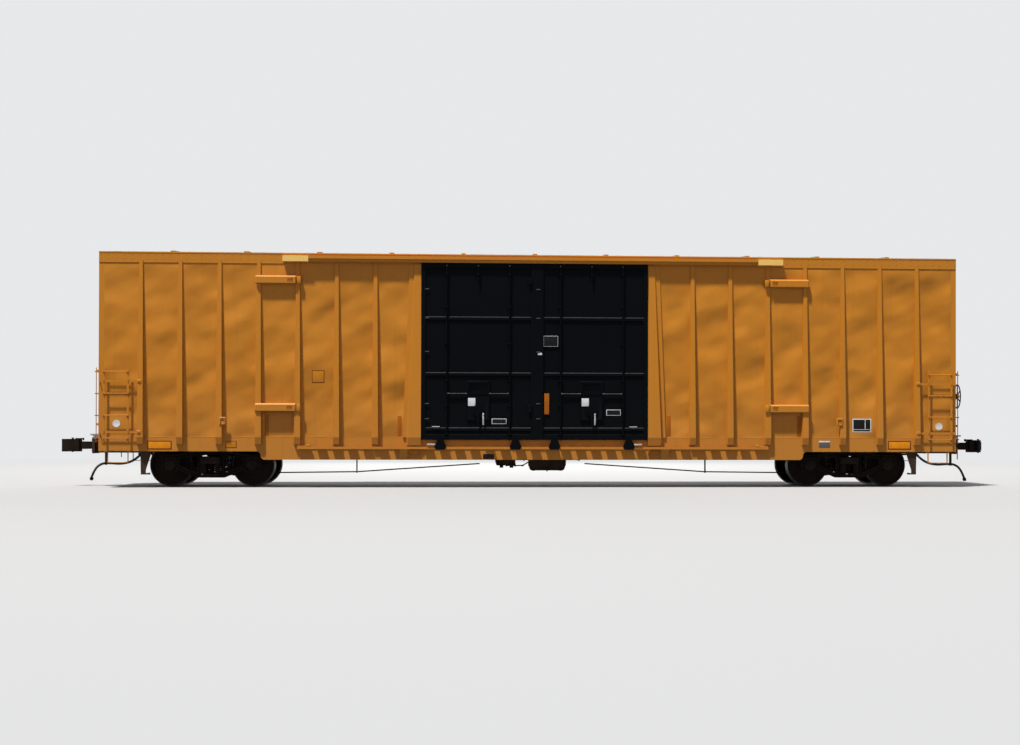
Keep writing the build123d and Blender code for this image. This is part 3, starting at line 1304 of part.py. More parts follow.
def bearings():
    """Roller bearing cups on the journals of one side, each under its adapter."""
    bore = JOURNAL_R + FIT_GAP
    half = BEARING_W / 2
    lip = BEARING_R - BEARING_EDGE
    cup = spun_y([(bore, -half), (lip, -half), (BEARING_R, -half + BEARING_EDGE),
                  (BEARING_R, half - BEARING_EDGE), (lip, half), (bore, half)])
    top = BEARING_R + ADAPTER_T
    saddle = Pos(0, top - ADAPTER_H / 2) * Rectangle(ADAPTER_W, ADAPTER_H)
    adapter = prism_y(saddle - Circle(BEARING_R + FIT_GAP), -half + ADAPTER_INSET,
                      half - ADAPTER_INSET)
    found = []
    for end in (-1, 1):
        place = Pos(end * WHEELBASE / 2, BEARING_Y, AXLE_Z)
        found += [place * cup, place * adapter]
    return found


def brake_beam():
    """Truss beam with a shoe in front of each wheel, carried in the side frames' guides."""
    reach = WHEELBASE / 2
    inner = reach - WHEEL_R
    x, z = BEAM_X, BEAM_Z
    end_y = BEARING_Y - FRAME_W / 2 - GUIDE_T - FIT_GAP
    beam = block(x - BEAM_T, x, -end_y, end_y, z - BEAM_H / 2, z + BEAM_H / 2)
    near, far = x - 5, x - 5 - TRUSS_REACH
    truss = outline([(near, -TRUSS_HALF), (far, -TRUSS_FLAT), (far, TRUSS_FLAT), (near, TRUSS_HALF),
                     (x - BEAM_T, TRUSS_HALF), (far - BEAM_T, TRUSS_FLAT),
                     (far - BEAM_T, -TRUSS_FLAT), (x - BEAM_T, -TRUSS_HALF)])
    beam += prism_z(truss, z - TRUSS_H / 2, z + TRUSS_H / 2)
    shoe_y = HALF_GAUGE + RIM_W / 2 + 6
    pad = Circle(WHEEL_R + SHOE_GAP + SHOE_T) - Circle(WHEEL_R + SHOE_GAP)
    pad &= Pos(-WHEEL_R - 20, -SHOE_DROP) * Rectangle(SHOE_H, SHOE_H)
    for s in (-1, 1):
        shoe = prism_y(pad, s * shoe_y - SHOE_W / 2, s * shoe_y + SHOE_W / 2)
        beam += Pos(reach, 0, AXLE_Z) * shoe
        beam += block(x - 10, inner - HEAD_REACH, s * shoe_y - HEAD_W / 2, s * shoe_y + HEAD_W / 2,
                      z - SHOE_HEAD_H / 2, z + SHOE_HEAD_H / 2)
    return beam


def wheel():
    """Cast wheel of the +Y side: hub, coned plate, tapered tread and flange."""
    back, front = HALF_GAUGE, HALF_GAUGE + RIM_W
    rim, tip = WHEEL_R - RIM_T, WHEEL_R + FLANGE_H
    bore = SEAT_R + FIT_GAP
    return spun_y([
        (bore, back + HUB_BACK), (HUB_R, back + HUB_BACK), (HUB_R, back + PLATE_BACK),
        (rim, back + PLATE_BACK), (rim, back), (tip - FLANGE_TIP, back), (tip, back + FLANGE_TIP),
        (WHEEL_R + 1, back + FLANGE_W), (WHEEL_R - TREAD_DROP, front), (rim, front),
        (rim, back + PLATE_RIM), (HUB_R, back + PLATE_HUB), (HUB_R, back + HUB_FRONT),
        (bore, back + HUB_FRONT)])


def axle():
    """Axle with flared ends, raised wheel seats, journals and bearing end caps."""
    seat0 = HALF_GAUGE - HUB_BACK
    seat1 = HALF_GAUGE + HUB_FRONT + SEAT_PAST
    collar = BEARING_Y - BEARING_W / 2 - 5
    cap = BEARING_Y + BEARING_W / 2 + 4
    half = [(AXLE_R, seat0 - AXLE_FLARE), (SEAT_R, seat0), (SEAT_R, seat1), (COLLAR_R, seat1),
            (COLLAR_R, collar), (JOURNAL_R, collar), (JOURNAL_R, cap), (CAP_R, cap),
            (CAP_R, cap + CAP_T), (0, cap + CAP_T)]
    return spun_y([(r, -y) for r, y in reversed(half)] + half)


def nodes_of_truck(tag, end):
    """The pieces of one truck by node, moved to their end of the car."""
    place = Pos(end * TRUCK_X, 0, 0)
    found = {
        f"side_frames_{tag}": both_sides([side_frame()]),
        f"truck_bolster_{tag}": [truck_bolster()],
        f"spring_nests_{tag}": both_sides(spring_nest()),
        f"bearings_{tag}": both_sides(bearings()),
        f"brake_beams_{tag}": [brake_beam(), over_x(brake_beam())],
    }
    return {name: [place * s for s in shapes] for name, shapes in found.items()}


# Couplers

def coupler():
    """Knuckle coupler of the +X end: long shank, head with guard arm, ears for the knuckle."""
    x, z = PULLING_FACE, COUPLER_Z
    head = outline([(x - 330, -85), (x - 300, -140), (x - 190, -150), (x - 170, -215),
                    (x - 60, -225), (x - 40, -150), (x - 60, -75), (x - 150, -60), (x - 158, 70),
                    (x - 60, 118), (x + 60, 190), (x + 40, 240), (x - 100, 205), (x - 230, 160),
                    (x - 300, 140), (x - 330, 85)])
    cast = [v for v in head.vertices() if v.X > x - 325]
    body = prism_z(fillet(cast, HEAD_R), z - HEAD_H / 2, z + HEAD_H / 2)
    slot = outline([(x - 165, -260), (x - 165, 60), (x + 90, 60), (x + 90, -260)])
    gap = KNUCKLE_H / 2 + CLEARANCE
    body -= prism_z(slot, z - gap, z + gap)
    shank = loft([Plane.YZ.offset(COUPLER_PIVOT - 60) * Pos(0, z) * Rectangle(120, 150),
                  Plane.YZ.offset(x - 320) * Pos(0, z) * Rectangle(150, 170)], ruled=True)
    shank -= Pos(COUPLER_PIVOT, 0, z) * Cylinder(DRAFT_PIN_R + 1, HEAD_H)
    pin = Pos(x - KNUCKLE_X, -KNUCKLE_Y, z) * Cylinder(PIN_R, HEAD_H + 30)
    return body + shank + pin


def knuckle():
    """Knuckle that turns about the pin in the coupler's ears."""
    x, z = PULLING_FACE, COUPLER_Z
    hub = Pos(x - KNUCKLE_X, -KNUCKLE_Y) * Circle(KNUCKLE_HUB_R)
    nose = outline([(x - 140, -118), (x - 92, -60), (x - 88, 18), (x - 40, 30), (x, 10),
                    (x, -70), (x - 56, -150), (x - 90, -190)])
    nose = fillet(nose.vertices(), 10)
    shape = hub + nose - Pos(x - KNUCKLE_X, -KNUCKLE_Y) * Circle(PIN_R + FIT_GAP)
    return prism_z(shape, z - KNUCKLE_H / 2, z + KNUCKLE_H / 2)


def draft_pin(end):
    """Pin that holds the coupler shank between the centre sill's top and a carrier plate."""
    inner = SILL_INSIDE / 2 - FIT_GAP
    plate = block(COUPLER_PIVOT - CARRIER_L / 2, COUPLER_PIVOT + CARRIER_L / 2, -inner, inner,
                  SILL_LOW, SILL_LOW + CARRIER_T)
    pin = Pos(COUPLER_PIVOT, 0, SILL_LOW) * Cylinder(
        DRAFT_PIN_R, SILL_TOP - SILL_WEB - SILL_LOW - FIT_GAP, align=UP)
    return at_end(plate + pin, end)


def all_nodes():
    """Every node of the car with its solids."""
    floor = block(-INSIDE_HALF, INSIDE_HALF, -WALL_IN + FIT_GAP, WALL_IN - FIT_GAP,
                  SILL_TOP + FIT_GAP, DECK_TOP)
    bolsters = [s for x in (-TRUCK_X, TRUCK_X) for s in body_bolster(x) + [centre_plate(x)]]
    cross_beams = [b for x, deep in CROSSBEARERS for s in sorted({-x, x})
                   for b in crossbearer(s, deep)]
    nodes = {
        "centre_sill": [centre_sill()] + [draft_pin(end) for _, end in ENDS],
        "body_bolsters": bolsters,
        "crossbearers": cross_beams,
        "floor": [floor],
        "side_sills": both_sides([side_sill()]),
        "end_sills": [end_sill(end) for _, end in ENDS],
        "roping_brackets": four_ways([roping_bracket()]),
        "side_wall_left": [side_wall(1), side_wall(-1)],
        "side_wall_right": [over_y(side_wall(1)), over_y(side_wall(-1))],
        "side_posts": four_ways([side_post(x) for x in POST_X]),
        "door_posts": four_ways([door_post()]),
        "top_chords": both_sides([top_chord()]),
        "corner_posts": four_ways([corner_post()]),
        "roof": [roof()],
        "upper_door_rails": both_sides([upper_rail()]),
        "lower_door_tracks": both_sides([lower_track()]),
        "door_gear": four_ways(door_lock_gear() + door_rollers()),
        "door_stops": four_ways([door_stop(z) for z in STOP_Z]),
        "ladders": four_ways([side_ladder(), end_ladder()]),
        "sill_steps": four_ways([sill_step()]),
        "end_platforms": [at_end(end_platform(), end) for _, end in ENDS],
        "hand_brake_housing": [hand_brake_housing()],
        "hand_brake_wheel": [hand_brake_wheel()],
        "air_reservoir": [air_reservoir()],
        "brake_cylinder": [brake_cylinder()],
        "control_valve": [control_valve()],
        "brake_pipe": [brake_pipe()] + [hose_hanger(end) for _, end in ENDS],
        "brake_rods": [brake_rod(end) for _, end in ENDS],
        "hose_couplings": [hose_coupling(end) for _, end in ENDS],
        "uncoupling_levers": [uncoupling_lever(end) for _, end in ENDS],
    }
    number = 0
    for tag, end in ENDS:
        nodes[f"end_wall_{tag}"] = [end_wall(end)]
        nodes[f"plug_door_left_{tag}"] = [plug_door(end, end < 0)]
        nodes[f"plug_door_right_{tag}"] = [over_y(plug_door(end, end > 0))]
        nodes[f"coupler_{tag}"] = [at_end(coupler(), end)]
        nodes[f"knuckle_{tag}"] = [at_end(knuckle(), end)]
        nodes[f"air_hose_{tag}"] = [air_hose(end)]
        nodes.update(nodes_of_truck(tag, end))
        for side in (-1, 1):
            number += 1
            place = Pos(end * TRUCK_X + side * WHEELBASE / 2, 0, AXLE_Z)
            nodes[f"axle_{number}"] = [place * axle()]
            nodes[f"wheels_{number}"] = [place * wheel(), place * over_y(wheel())]
    return nodes


def export_node(name, shapes):
    """Write one node's solids, with the lowest wheel flange at Z = 0."""
    solids = [s for shape in shapes for s in (Pos(0, 0, FLANGE_H) * shape).solids()]
    export_step(Compound(solids), f"parts/{name}.step")


os.makedirs("parts", exist_ok=True)
for node_name, node_shapes in all_nodes().items():
    export_node(node_name, node_shapes)
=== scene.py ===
"""The looks of a high-cube railroad boxcar: paint, rust, rubber, springs and small fittings."""

import itertools
import logging
import math
from dataclasses import dataclass
from enum import Enum
from typing import Callable, Iterable, Sequence, Union

import bmesh
import bpy
from mathutils import Matrix, Vector

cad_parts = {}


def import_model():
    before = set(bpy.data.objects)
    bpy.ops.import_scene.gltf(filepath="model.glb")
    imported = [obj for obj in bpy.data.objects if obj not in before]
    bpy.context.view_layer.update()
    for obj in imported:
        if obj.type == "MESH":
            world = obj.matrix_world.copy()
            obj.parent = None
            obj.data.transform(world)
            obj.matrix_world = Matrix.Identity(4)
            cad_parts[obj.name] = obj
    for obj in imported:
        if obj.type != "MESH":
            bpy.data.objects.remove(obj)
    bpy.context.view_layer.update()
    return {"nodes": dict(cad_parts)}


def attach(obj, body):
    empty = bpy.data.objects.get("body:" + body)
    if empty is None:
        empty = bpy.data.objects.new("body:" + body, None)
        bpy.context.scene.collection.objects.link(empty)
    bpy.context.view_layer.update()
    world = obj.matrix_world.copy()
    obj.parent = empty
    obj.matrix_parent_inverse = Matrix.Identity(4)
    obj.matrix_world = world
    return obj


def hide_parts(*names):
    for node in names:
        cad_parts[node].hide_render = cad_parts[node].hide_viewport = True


log = logging.getLogger("boxcar")

Colour = tuple[float, float, float]
Point = tuple[float, float, float]
Pair = tuple[float, float]
Pairs = tuple[Pair, ...]
Row = tuple[float, ...]
Piece = bpy.types.Object
Item = Union[bmesh.types.BMFace, bmesh.types.BMEdge]
Span = Union[float, Sequence[float]]  # one value or several

RAIL = 0.0254  # height of the rail's top over the lowest point of the wheel flanges

# Places of the CAD, in metres from the car's middle and above the rail.
BODY_HALF = 9.375
TRUCK_X = 7.0485
AXLE_X = (-7.9375, -6.1595, 6.1595, 7.9375)
AXLE_Z = 0.4572
SHEET_Y = -1.478
SILL_Y = -1.486


# Shader maths


def maths(operation: str, swap: bool = False) -> Callable[..., "Line"]:
    """Make a method that adds one Math node.

    Args:
        operation: Blender's name of the operation.
        swap: Whether the other value comes first.

    Returns:
        The method, which takes the other value and returns the node's result.
    """
    def method(line: "Line", other: "Value" = 0.0) -> "Line":
        """Add the node."""
        first, second = (other, line) if swap else (line, other)
        return line.graph.add("ShaderNodeMath", {"operation": operation}, {0: first, 1: second})
    return method


class Line:
    """An output socket of a material's node, which Python's operators can work on."""

    __add__, __radd__ = maths("ADD"), maths("ADD", swap=True)
    __sub__, __rsub__ = maths("SUBTRACT"), maths("SUBTRACT", swap=True)
    __mul__, __truediv__, __pow__ = maths("MULTIPLY"), maths("DIVIDE"), maths("POWER")
    size, fraction = maths("ABSOLUTE"), maths("FRACT")
    larger, smaller = maths("MAXIMUM"), maths("MINIMUM")

    def __init__(self, graph: "Graph", socket: bpy.types.NodeSocket) -> None:
        """Keep the socket and the graph that it belongs to."""
        self.graph = graph
        self.socket = socket

    def above(self, limit: float, width: float) -> "Line":
        """A mask that rises from 0 to 1 across a width centred on a limit.

        Args:
            limit: Where it is one half.
            width: Over which it rises.

        Returns:
            The mask.
        """
        low = limit - width / 2
        return self.graph.add("ShaderNodeMapRange", {"clamp": True},
                              {"Value": self, "From Min": low, "From Max": low + width})

    def clamped(self) -> "Line":
        """The value held between 0 and 1."""
        return self.larger(0.0).smaller(1.0)


Value = Union[Line, float, int, Sequence[float]]


@dataclass(frozen=True)
class Grain:
    """A noise pattern on a surface."""

    scale: float  # waves per metre before the stretch
    detail: float  # octaves
    rough: float  # weight of the finer octaves
    shift: float  # moves the pattern, so that two finishes don't repeat each other
    stretch: Point = (1.0, 1.0, 1.0)  # a low one draws streaks along its axis
    lean: float = 0.0  # turns the pattern about the Y axis, in radians


class Graph:
    """The node tree of one new material or world."""

    def __init__(self, owner: bpy.types.Material | bpy.types.World) -> None:
        """Empty the owner's tree.

        Args:
            owner: The new material or world.
        """
        owner.use_nodes = True
        self.owner = owner
        self.tree = owner.node_tree
        self.tree.nodes.clear()
        self._place: Line | None = None

    def add(self, kind: str, settings: dict[str, object],
            inputs: dict[int | str, Value], out: int | str = 0) -> Line:
        """Add any node.

        Args:
            kind: Blender's type name of the node.
            settings: Properties of the node, set first.
            inputs: Values or lines for its sockets, by index or name.
            out: The socket to return.

        Returns:
            The chosen output.
        """
        node = self.tree.nodes.new(kind)
        for key, value in settings.items():
            setattr(node, key, value)
        for key, value in inputs.items():
            if isinstance(value, Line):
                self.tree.links.new(value.socket, node.inputs[key])
            else:
                node.inputs[key].default_value = value
        return Line(self, node.outputs[out] if len(node.outputs) else node.inputs[0])

    def looked_at(self) -> Line:
        """1 where the camera looks, straight, in a mirror or through glass, and 0 for light.

        Returns:
            The mask.
        """
        path = self.add("ShaderNodeLightPath", {}, {}).socket.node
        seen, mirrored, through = (Line(self, path.outputs[name]) for name in (
            "Is Camera Ray", "Is Glossy Ray", "Is Transmission Ray"))
        return seen.larger(mirrored).larger(through)

    def place(self) -> Line:
        """The point of the surface in the object's own metres.

        Returns:
            The point.
        """
        if self._place is None:
            self._place = self.add("ShaderNodeTexCoord", {}, {}, "Object")
        return self._place

    def axes(self) -> tuple[Line, Line, Line]:
        """The three coordinates of the surface point."""
        node = self.add("ShaderNodeSeparateXYZ", {}, {0: self.place()}).socket.node
        return tuple(Line(self, output) for output in node.outputs)

    def noise(self, grain: Grain) -> Line:
        """Noise over the surface.

        Args:
            grain: The pattern.

        Returns:
            The noise value.
        """
        place = self.place()
        if grain.lean:
            place = self.add("ShaderNodeVectorRotate", {"rotation_type": "Y_AXIS"},
                             {"Vector": place, "Angle": grain.lean})
        moves = (grain.shift, grain.shift * 0.7, grain.shift * 1.3)
        moved = self.add("ShaderNodeMapping", {"vector_type": "POINT"},
                         {"Vector": place, "Location": moves, "Scale": grain.stretch})
        return self.add("ShaderNodeTexNoise", {}, {
            "Vector": moved, "Scale": grain.scale, "Detail": grain.detail,
            "Roughness": grain.rough})

    def blend(self, share: Value, base: Value, over: Value) -> Line:
        """Mix two colours.

        Args:
            share: How much of the second shows.
            base: First colour.
            over: Second colour.

        Returns:
            The mixed colour.
        """
        first, second = ((*c, 1.0) if isinstance(c, tuple) else c for c in (base, over))
        return self.add("ShaderNodeMix", {"data_type": "RGBA"},
                        {"Factor": share, 6: first, 7: second}, 2)

    def bump(self, height: Value, depth: float, under: Line | None = None) -> Line:
        """A normal pushed by a height.

        Args:
            height: Height of the relief, from 0 to 1.
            depth: Metres that 1 stands for.
            under: A coarser relief below this one.

        Returns:
            The normal.
        """
        inputs: dict[int | str, Value] = {"Height": height, "Distance": depth}
        if under is not None:
            inputs["Normal"] = under
        return self.add("ShaderNodeBump", {}, inputs)

    def surface(self, sockets: dict[int | str, Value]) -> bpy.types.Material:
        """Close the material with a Principled surface that has those sockets.

        Args:
            sockets: Its inputs by name.

        Returns:
            The material.
        """
        shader = self.add("ShaderNodeBsdfPrincipled", {}, sockets)
        self.add("ShaderNodeOutputMaterial", {}, {"Surface": shader})
        return self.owner


# Finishes


PAINT = (0.455, 0.163, 0.0087)
PAINT_FADED = (0.530, 0.205, 0.0162)


class Pressing(Enum):
    """What a painted sheet is pressed or pulled into: its waves and their depth."""

    FLAT = None
    SHEET = (Grain(1.2, 1.3, 0.4, 5.3, (0.86, 1.0, 1.1), 0.45), 0.15)
    PLATE = (Grain(2.2, 1.5, 0.4, 2.2, (1.0, 1.0, 0.8)), 0.006)


@dataclass(frozen=True)
class Coat:
    """The finish of a surface."""

    name: str

    def build(self) -> bpy.types.Material:
        """Make the material."""
        return self._nodes(Graph(bpy.data.materials.new(self.name)))

    def _nodes(self, g: Graph) -> bpy.types.Material:
        """Draw the nodes of this kind of coat and close the material."""
        raise NotImplementedError


@dataclass(frozen=True)
class CarPaint(Coat):
    """Paint that has faded in the sun, with rain streaks, dust low down and rust at its chips."""

    colour: Colour = PAINT
    faded: Colour = PAINT_FADED
    dust: Colour = (0.28, 0.15, 0.065)
    rust: Colour = (0.10, 0.035, 0.012)
    gloss: float = 0.42
    dust_height: float = 1.35
    dust_share: float = 0.26
    chips: float = 0.70
    shine: float = 0.28
    pressing: Pressing = Pressing.FLAT
    # a lighter colour on the ends, a painted highlight where their faces would catch the light, and
    # where along the car it starts
    lit_end_colour: Colour | None = None
    lit_ends_from: float = 4.91
    highlit_ledges: Row = ()  # middle heights of the sloping ledges, lightened for the dust on them and as a painted highlight along their edges
    ledge_reach: Pair = (1.5238, 1.5476)  # how far out they reach
    ledge_dust_and_highlight: Colour = (0.034, 0.034, 0.034)
    clouds: Grain = Grain(0.45, 3.0, 0.6, 3.1)
    streaks: Grain = Grain(7.0, 4.0, 0.62, 1.7, (1.0, 1.0, 0.045))
    specks: Grain = Grain(38.0, 5.0, 0.65, 0.4)
    grain_depth: float = 0.0006

    def _nodes(self, g: Graph) -> bpy.types.Material:
        """Lay fading, dust, grime, chips and the dust of ledges over the paint.

        Args:
            g: The new material's graph.

        Returns:
            The paint.
        """
        x, y, z = g.axes()
        cloud, streak, speck = (g.noise(grain) for grain in (
            self.clouds, self.streaks, self.specks))
        fade = (cloud * 0.75 + streak * 0.45 - 0.35).clamped()
        colour = g.blend(fade, self.colour, self.faded)
        low = 1.0 - z.above(self.dust_height, 1.9)
        dirt = (low * self.dust_share * (speck * 0.9 + streak * 0.6)).clamped()
        colour = g.blend(dirt, colour, self.dust)
        grime = streak.above(0.64, 0.2) * 0.16
        colour = g.blend(grime, colour, tuple(c * 0.35 for c in self.colour))
        chip = speck.above(self.chips, 0.03) * cloud.above(0.52, 0.1)
        colour = g.blend(chip, colour, self.rust)
        near, far = self.ledge_reach
        # Painted highlight and dust: a band along each sloping ledge is lightened, for the dust on
        # it and for the light that its edge catches.
        for height in self.highlit_ledges:
            band = 1.0 - (z - RAIL - height).size().above(0.011, 0.006)
            lit_dusty_ledge = band * y.size().above(near, 0.001) * (1.0 - y.size().above(far, 0.001))
            colour = g.blend((lit_dusty_ledge * (streak * 0.8 + 0.4)).clamped(), colour, self.ledge_dust_and_highlight)
        # Painted highlight: beyond that distance along the car the ends are painted lighter, as if
        # their faces caught the light.
        if self.lit_end_colour is not None:
            colour = g.blend(x.size().above(self.lit_ends_from, 0.004), colour, self.lit_end_colour)
        under = None
        if self.pressing is not Pressing.FLAT:
            waves, depth = self.pressing.value
            under = g.bump(g.noise(waves), depth)
        return g.surface({
            "Base Color": colour, "Specular IOR Level": self.shine,
            "Roughness": (self.gloss + dirt * 0.4 + chip * 0.3 + fade * 0.10).clamped(),
            "Normal": g.bump(speck, self.grain_depth, under)})


@dataclass(frozen=True)
class RustySteel(Coat):
    """Bare or once painted iron under road dirt, oil and rust, and on wheels a bright tread."""

    dark: Colour
    rust: Colour
    dust: Colour = (0.20, 0.14, 0.09)
    dust_share: float = 0.35
    cast: float = 0.0012
    shine: float = 0.16
    tread_at: float | None = None
    tread_radius: float = 0.4515
    clouds: Grain = Grain(2.6, 5.0, 0.6, 1.1)
    pits: Grain = Grain(55.0, 6.0, 0.65, 0.2)

    def _nodes(self, g: Graph) -> bpy.types.Material:
        """Lay rust and dust over the iron and polish a wheel's tread.

        Args:
            g: The new material's graph.

        Returns:
            The rusty steel.
        """
        x, _, z = g.axes()
        cloud, pit = g.noise(self.clouds), g.noise(self.pits)
        colour = g.blend((cloud * 1.5 + pit * 0.5 - 0.55).clamped(), self.dark, self.rust)
        dirt = (cloud.above(0.5, 0.4) * pit * self.dust_share * 1.6).clamped()
        colour = g.blend(dirt, colour, self.dust)
        rough = (0.62 + pit * 0.3 + dirt * 0.1).clamped()
        sockets: dict[int | str, Value] = {"Normal": g.bump(pit, self.cast)}
        if self.tread_at is not None:
            away = ((x - self.tread_at) ** 2.0 + (z - RAIL - AXLE_Z) ** 2.0) ** 0.5
            tread = away.above(self.tread_radius, 0.006)
            colour = g.blend(tread * 0.85, colour, (0.42, 0.40, 0.38))
            rough = (rough - tread * 0.42).clamped()
            sockets["Metallic"] = tread * 0.9
        return g.surface({"Base Color": colour, "Roughness": rough,
                          "Specular IOR Level": self.shine, **sockets})


@dataclass(frozen=True)
class ZincSheet(Coat):
    """Galvanised sheet with its spangle, dulled by weather, with the body's paint at its edge."""

    colour: Colour = (0.31, 0.315, 0.32)
    bright: Colour = (0.46, 0.47, 0.48)
    stain: Colour = (0.13, 0.10, 0.075)
    spangle: float = 26.0
    painted_from: float = 1.476

    def _nodes(self, g: Graph) -> bpy.types.Material:
        """Draw the spangle, the stains and the painted edge.

        Args:
            g: The new material's graph.

        Returns:
            The zinc.
        """
        cells = g.add("ShaderNodeTexVoronoi", {}, {"Vector": g.place(), "Scale": self.spangle},
                      "Color")
        tone = g.add("ShaderNodeRGBToBW", {}, {0: cells})
        cloud = g.noise(Grain(0.9, 4.0, 0.6, 8.0))
        run = g.noise(Grain(6.0, 4.0, 0.6, 3.0, (1.0, 0.08, 1.0)))
        colour = g.blend(tone * 0.22, self.colour, self.bright)
        colour = g.blend((cloud.above(0.55, 0.3) * run * 0.7).clamped(), colour, self.stain)
        _, y, _ = g.axes()
        edge = y.size().above(self.painted_from, 0.006)
        return g.surface({
            "Base Color": g.blend(edge, colour, PAINT_FADED), "Specular IOR Level": 0.2,
            "Roughness": (0.58 + tone * 0.16 + cloud * 0.18).clamped(),
            "Metallic": (1.0 - edge) * 0.15, "Normal": g.bump(cloud, 0.004)})


@dataclass(frozen=True)
class FloorPlanks(Coat):
    """Hardwood floor planks laid across the car, worn grey by loads."""

    pitch: float = 0.145
    timber: tuple[Colour, Colour] = ((0.20, 0.115, 0.055), (0.33, 0.22, 0.125))
    worn: Colour = (0.24, 0.21, 0.175)
    gap: Colour = (0.02, 0.015, 0.01)

    def _nodes(self, g: Graph) -> bpy.types.Material:
        """Draw the timber's grain, its wear and the joints.

        Args:
            g: The new material's graph.

        Returns:
            The timber.
        """
        x, _, _ = g.axes()
        joint = ((x / self.pitch).fraction() - 0.5).size().above(0.48, 0.02)
        fibre = g.noise(Grain(5.0, 6.0, 0.6, 0.6, (14.0, 0.8, 14.0)))
        wear = g.noise(Grain(1.4, 4.0, 0.6, 2.0))
        colour = g.blend(wear.above(0.5, 0.5) * 0.6, g.blend(fibre, *self.timber), self.worn)
        return g.surface({"Base Color": g.blend(joint, colour, self.gap),
                          "Roughness": (0.6 + fibre * 0.25).clamped(),
                          "Normal": g.bump(fibre * 0.3 - joint, 0.003)})


@dataclass(frozen=True)
class HoseRubber(Coat):
    """Black air-hose rubber with a bloom of dust."""

    rubber: Colour = (0.012, 0.012, 0.013)
    dust: Colour = (0.10, 0.08, 0.06)

    def _nodes(self, g: Graph) -> bpy.types.Material:
        """Draw the bloom over the rubber and its weave.

        Args:
            g: The new material's graph.

        Returns:
            The rubber.
        """
        dusty = g.noise(Grain(9.0, 4.0, 0.6, 0.9))
        weave = g.noise(Grain(240.0, 2.0, 0.5, 0.1))
        return g.surface({
            "Base Color": g.blend(dusty.above(0.5, 0.4) * 0.35, self.rubber, self.dust),
            "Roughness": (0.55 + dusty * 0.3).clamped(), "Normal": g.bump(weave, 0.0005)})


@dataclass(frozen=True)
class Enamel(Coat):
    """The hard finish of a plate, lever or reflector, dirty in patches."""

    colour: Colour
    dirt: Colour
    comb: float = 0.0  # cells per metre of a reflector's comb, or none

    def _nodes(self, g: Graph) -> bpy.types.Material:
        """Lay dirt over the enamel and press the comb into it.

        Args:
            g: The new material's graph.

        Returns:
            The enamel.
        """
        cloud = g.noise(Grain(7.0, 4.0, 0.6, 4.4))
        height = g.noise(Grain(90.0, 3.0, 0.6, 0.7))
        dirt = (cloud.above(0.56, 0.3) * 0.5 + height.above(0.66, 0.1) * 0.5).clamped()
        colour = g.blend(dirt, self.colour, self.dirt)
        if self.comb:
            height = g.add("ShaderNodeTexVoronoi", {"feature": "DISTANCE_TO_EDGE"},
                           {"Vector": g.place(), "Scale": self.comb})
            colour = g.blend((1.0 - height.above(0.10, 0.10)) * 0.35, colour, self.dirt)
        return g.surface({"Base Color": colour, "Roughness": (0.30 + dirt * 0.4).clamped(),
                          "Specular IOR Level": 0.15, "Normal": g.bump(height, 0.0004)})


class Finish(Enum):
    """Every finish of the car but the wheels', with its coat and the record's slot for it."""

    BODY = (CarPaint("boxcar_yellow"), "body_paint")
    SHEET = (CarPaint("boxcar_yellow_sheet", pressing=Pressing.SHEET), "body_paint")
    # the rail's ends carry a painted highlight
    RAIL = (CarPaint("boxcar_yellow_rail", lit_end_colour=(0.80, 0.50, 0.14)), "body_paint")
    DOOR = (CarPaint("door_black", (0.0015, 0.0021, 0.0029), (0.0036, 0.0046, 0.0060),
                     dust=(0.026, 0.021, 0.018), rust=(0.05, 0.02, 0.01), gloss=0.46,
                     dust_share=0.05, chips=0.74, shine=0.03, pressing=Pressing.PLATE,
                     # the rib ledges carry dust and a painted highlight
                     highlit_ledges=(1.277, 2.477, 3.692)), "door_paint")
    FRAME = (RustySteel("underframe_brown", (0.018, 0.011, 0.008), (0.060, 0.031, 0.018),
                        dust=(0.075, 0.055, 0.038)), "underframe_paint")
    CAST = (RustySteel("cast_steel_rusty", (0.0065, 0.0052, 0.0045), (0.022, 0.013, 0.009),
                       dust=(0.036, 0.028, 0.021), cast=0.002, shine=0.10), "cast_steel")
    ZINC = (ZincSheet("roof_zinc"), "roof_zinc")
    PLANKS = (FloorPlanks("floor_planks"), "floor_planks")
    RUBBER = (HoseRubber("hose_rubber_black"), "hose_rubber")
    WORN_STEEL = (RustySteel("worn_steel", (0.088, 0.086, 0.084), (0.060, 0.036, 0.023),
                             dust=(0.13, 0.11, 0.09), cast=0.0006, shine=0.3), "door_paint")
    WORN_WHITE = (Enamel("lever_white", (0.50, 0.51, 0.52), (0.12, 0.09, 0.07)), "door_paint")
    AMBER = (Enamel("reflector_amber", (0.37, 0.100, 0.0020), (0.25, 0.070, 0.010), 210.0),
             "body_paint")
    ORANGE = (Enamel("plate_orange", (0.78, 0.26, 0.004), (0.42, 0.15, 0.01), 210.0), "body_paint")
    BROWN = (Enamel("plate_border_brown", (0.125, 0.020, 0.008), (0.06, 0.02, 0.01)), "body_paint")
    GREY = (Enamel("plate_grey", (0.085, 0.088, 0.10), (0.16, 0.08, 0.03)), "body_paint")
    WHITE = (Enamel("plate_white", (0.66, 0.68, 0.70), (0.30, 0.25, 0.20)), "body_paint")
    BLACK = (Enamel("plate_black", (0.0025, 0.0028, 0.0032), (0.010, 0.009, 0.008)), "body_paint")
    YELLOW = (Enamel("plate_yellow", PAINT, PAINT_FADED), "body_paint")


Shop = dict[Finish, bpy.types.Material]


# Modelling by hand


class Pick(Enum):
    """What is selected in edit mode."""

    FACES = "FACE"
    EDGES = "EDGE"


class Side(Enum):
    """A way that faces can look."""

    OUT = (0.0, -1.0, 0.0)
    BACK = (0.0, 1.0, 0.0)
    TOP = (0.0, 0.0, 1.0)
    BOTTOM = (0.0, 0.0, -1.0)
    END = (1.0, 0.0, 0.0)


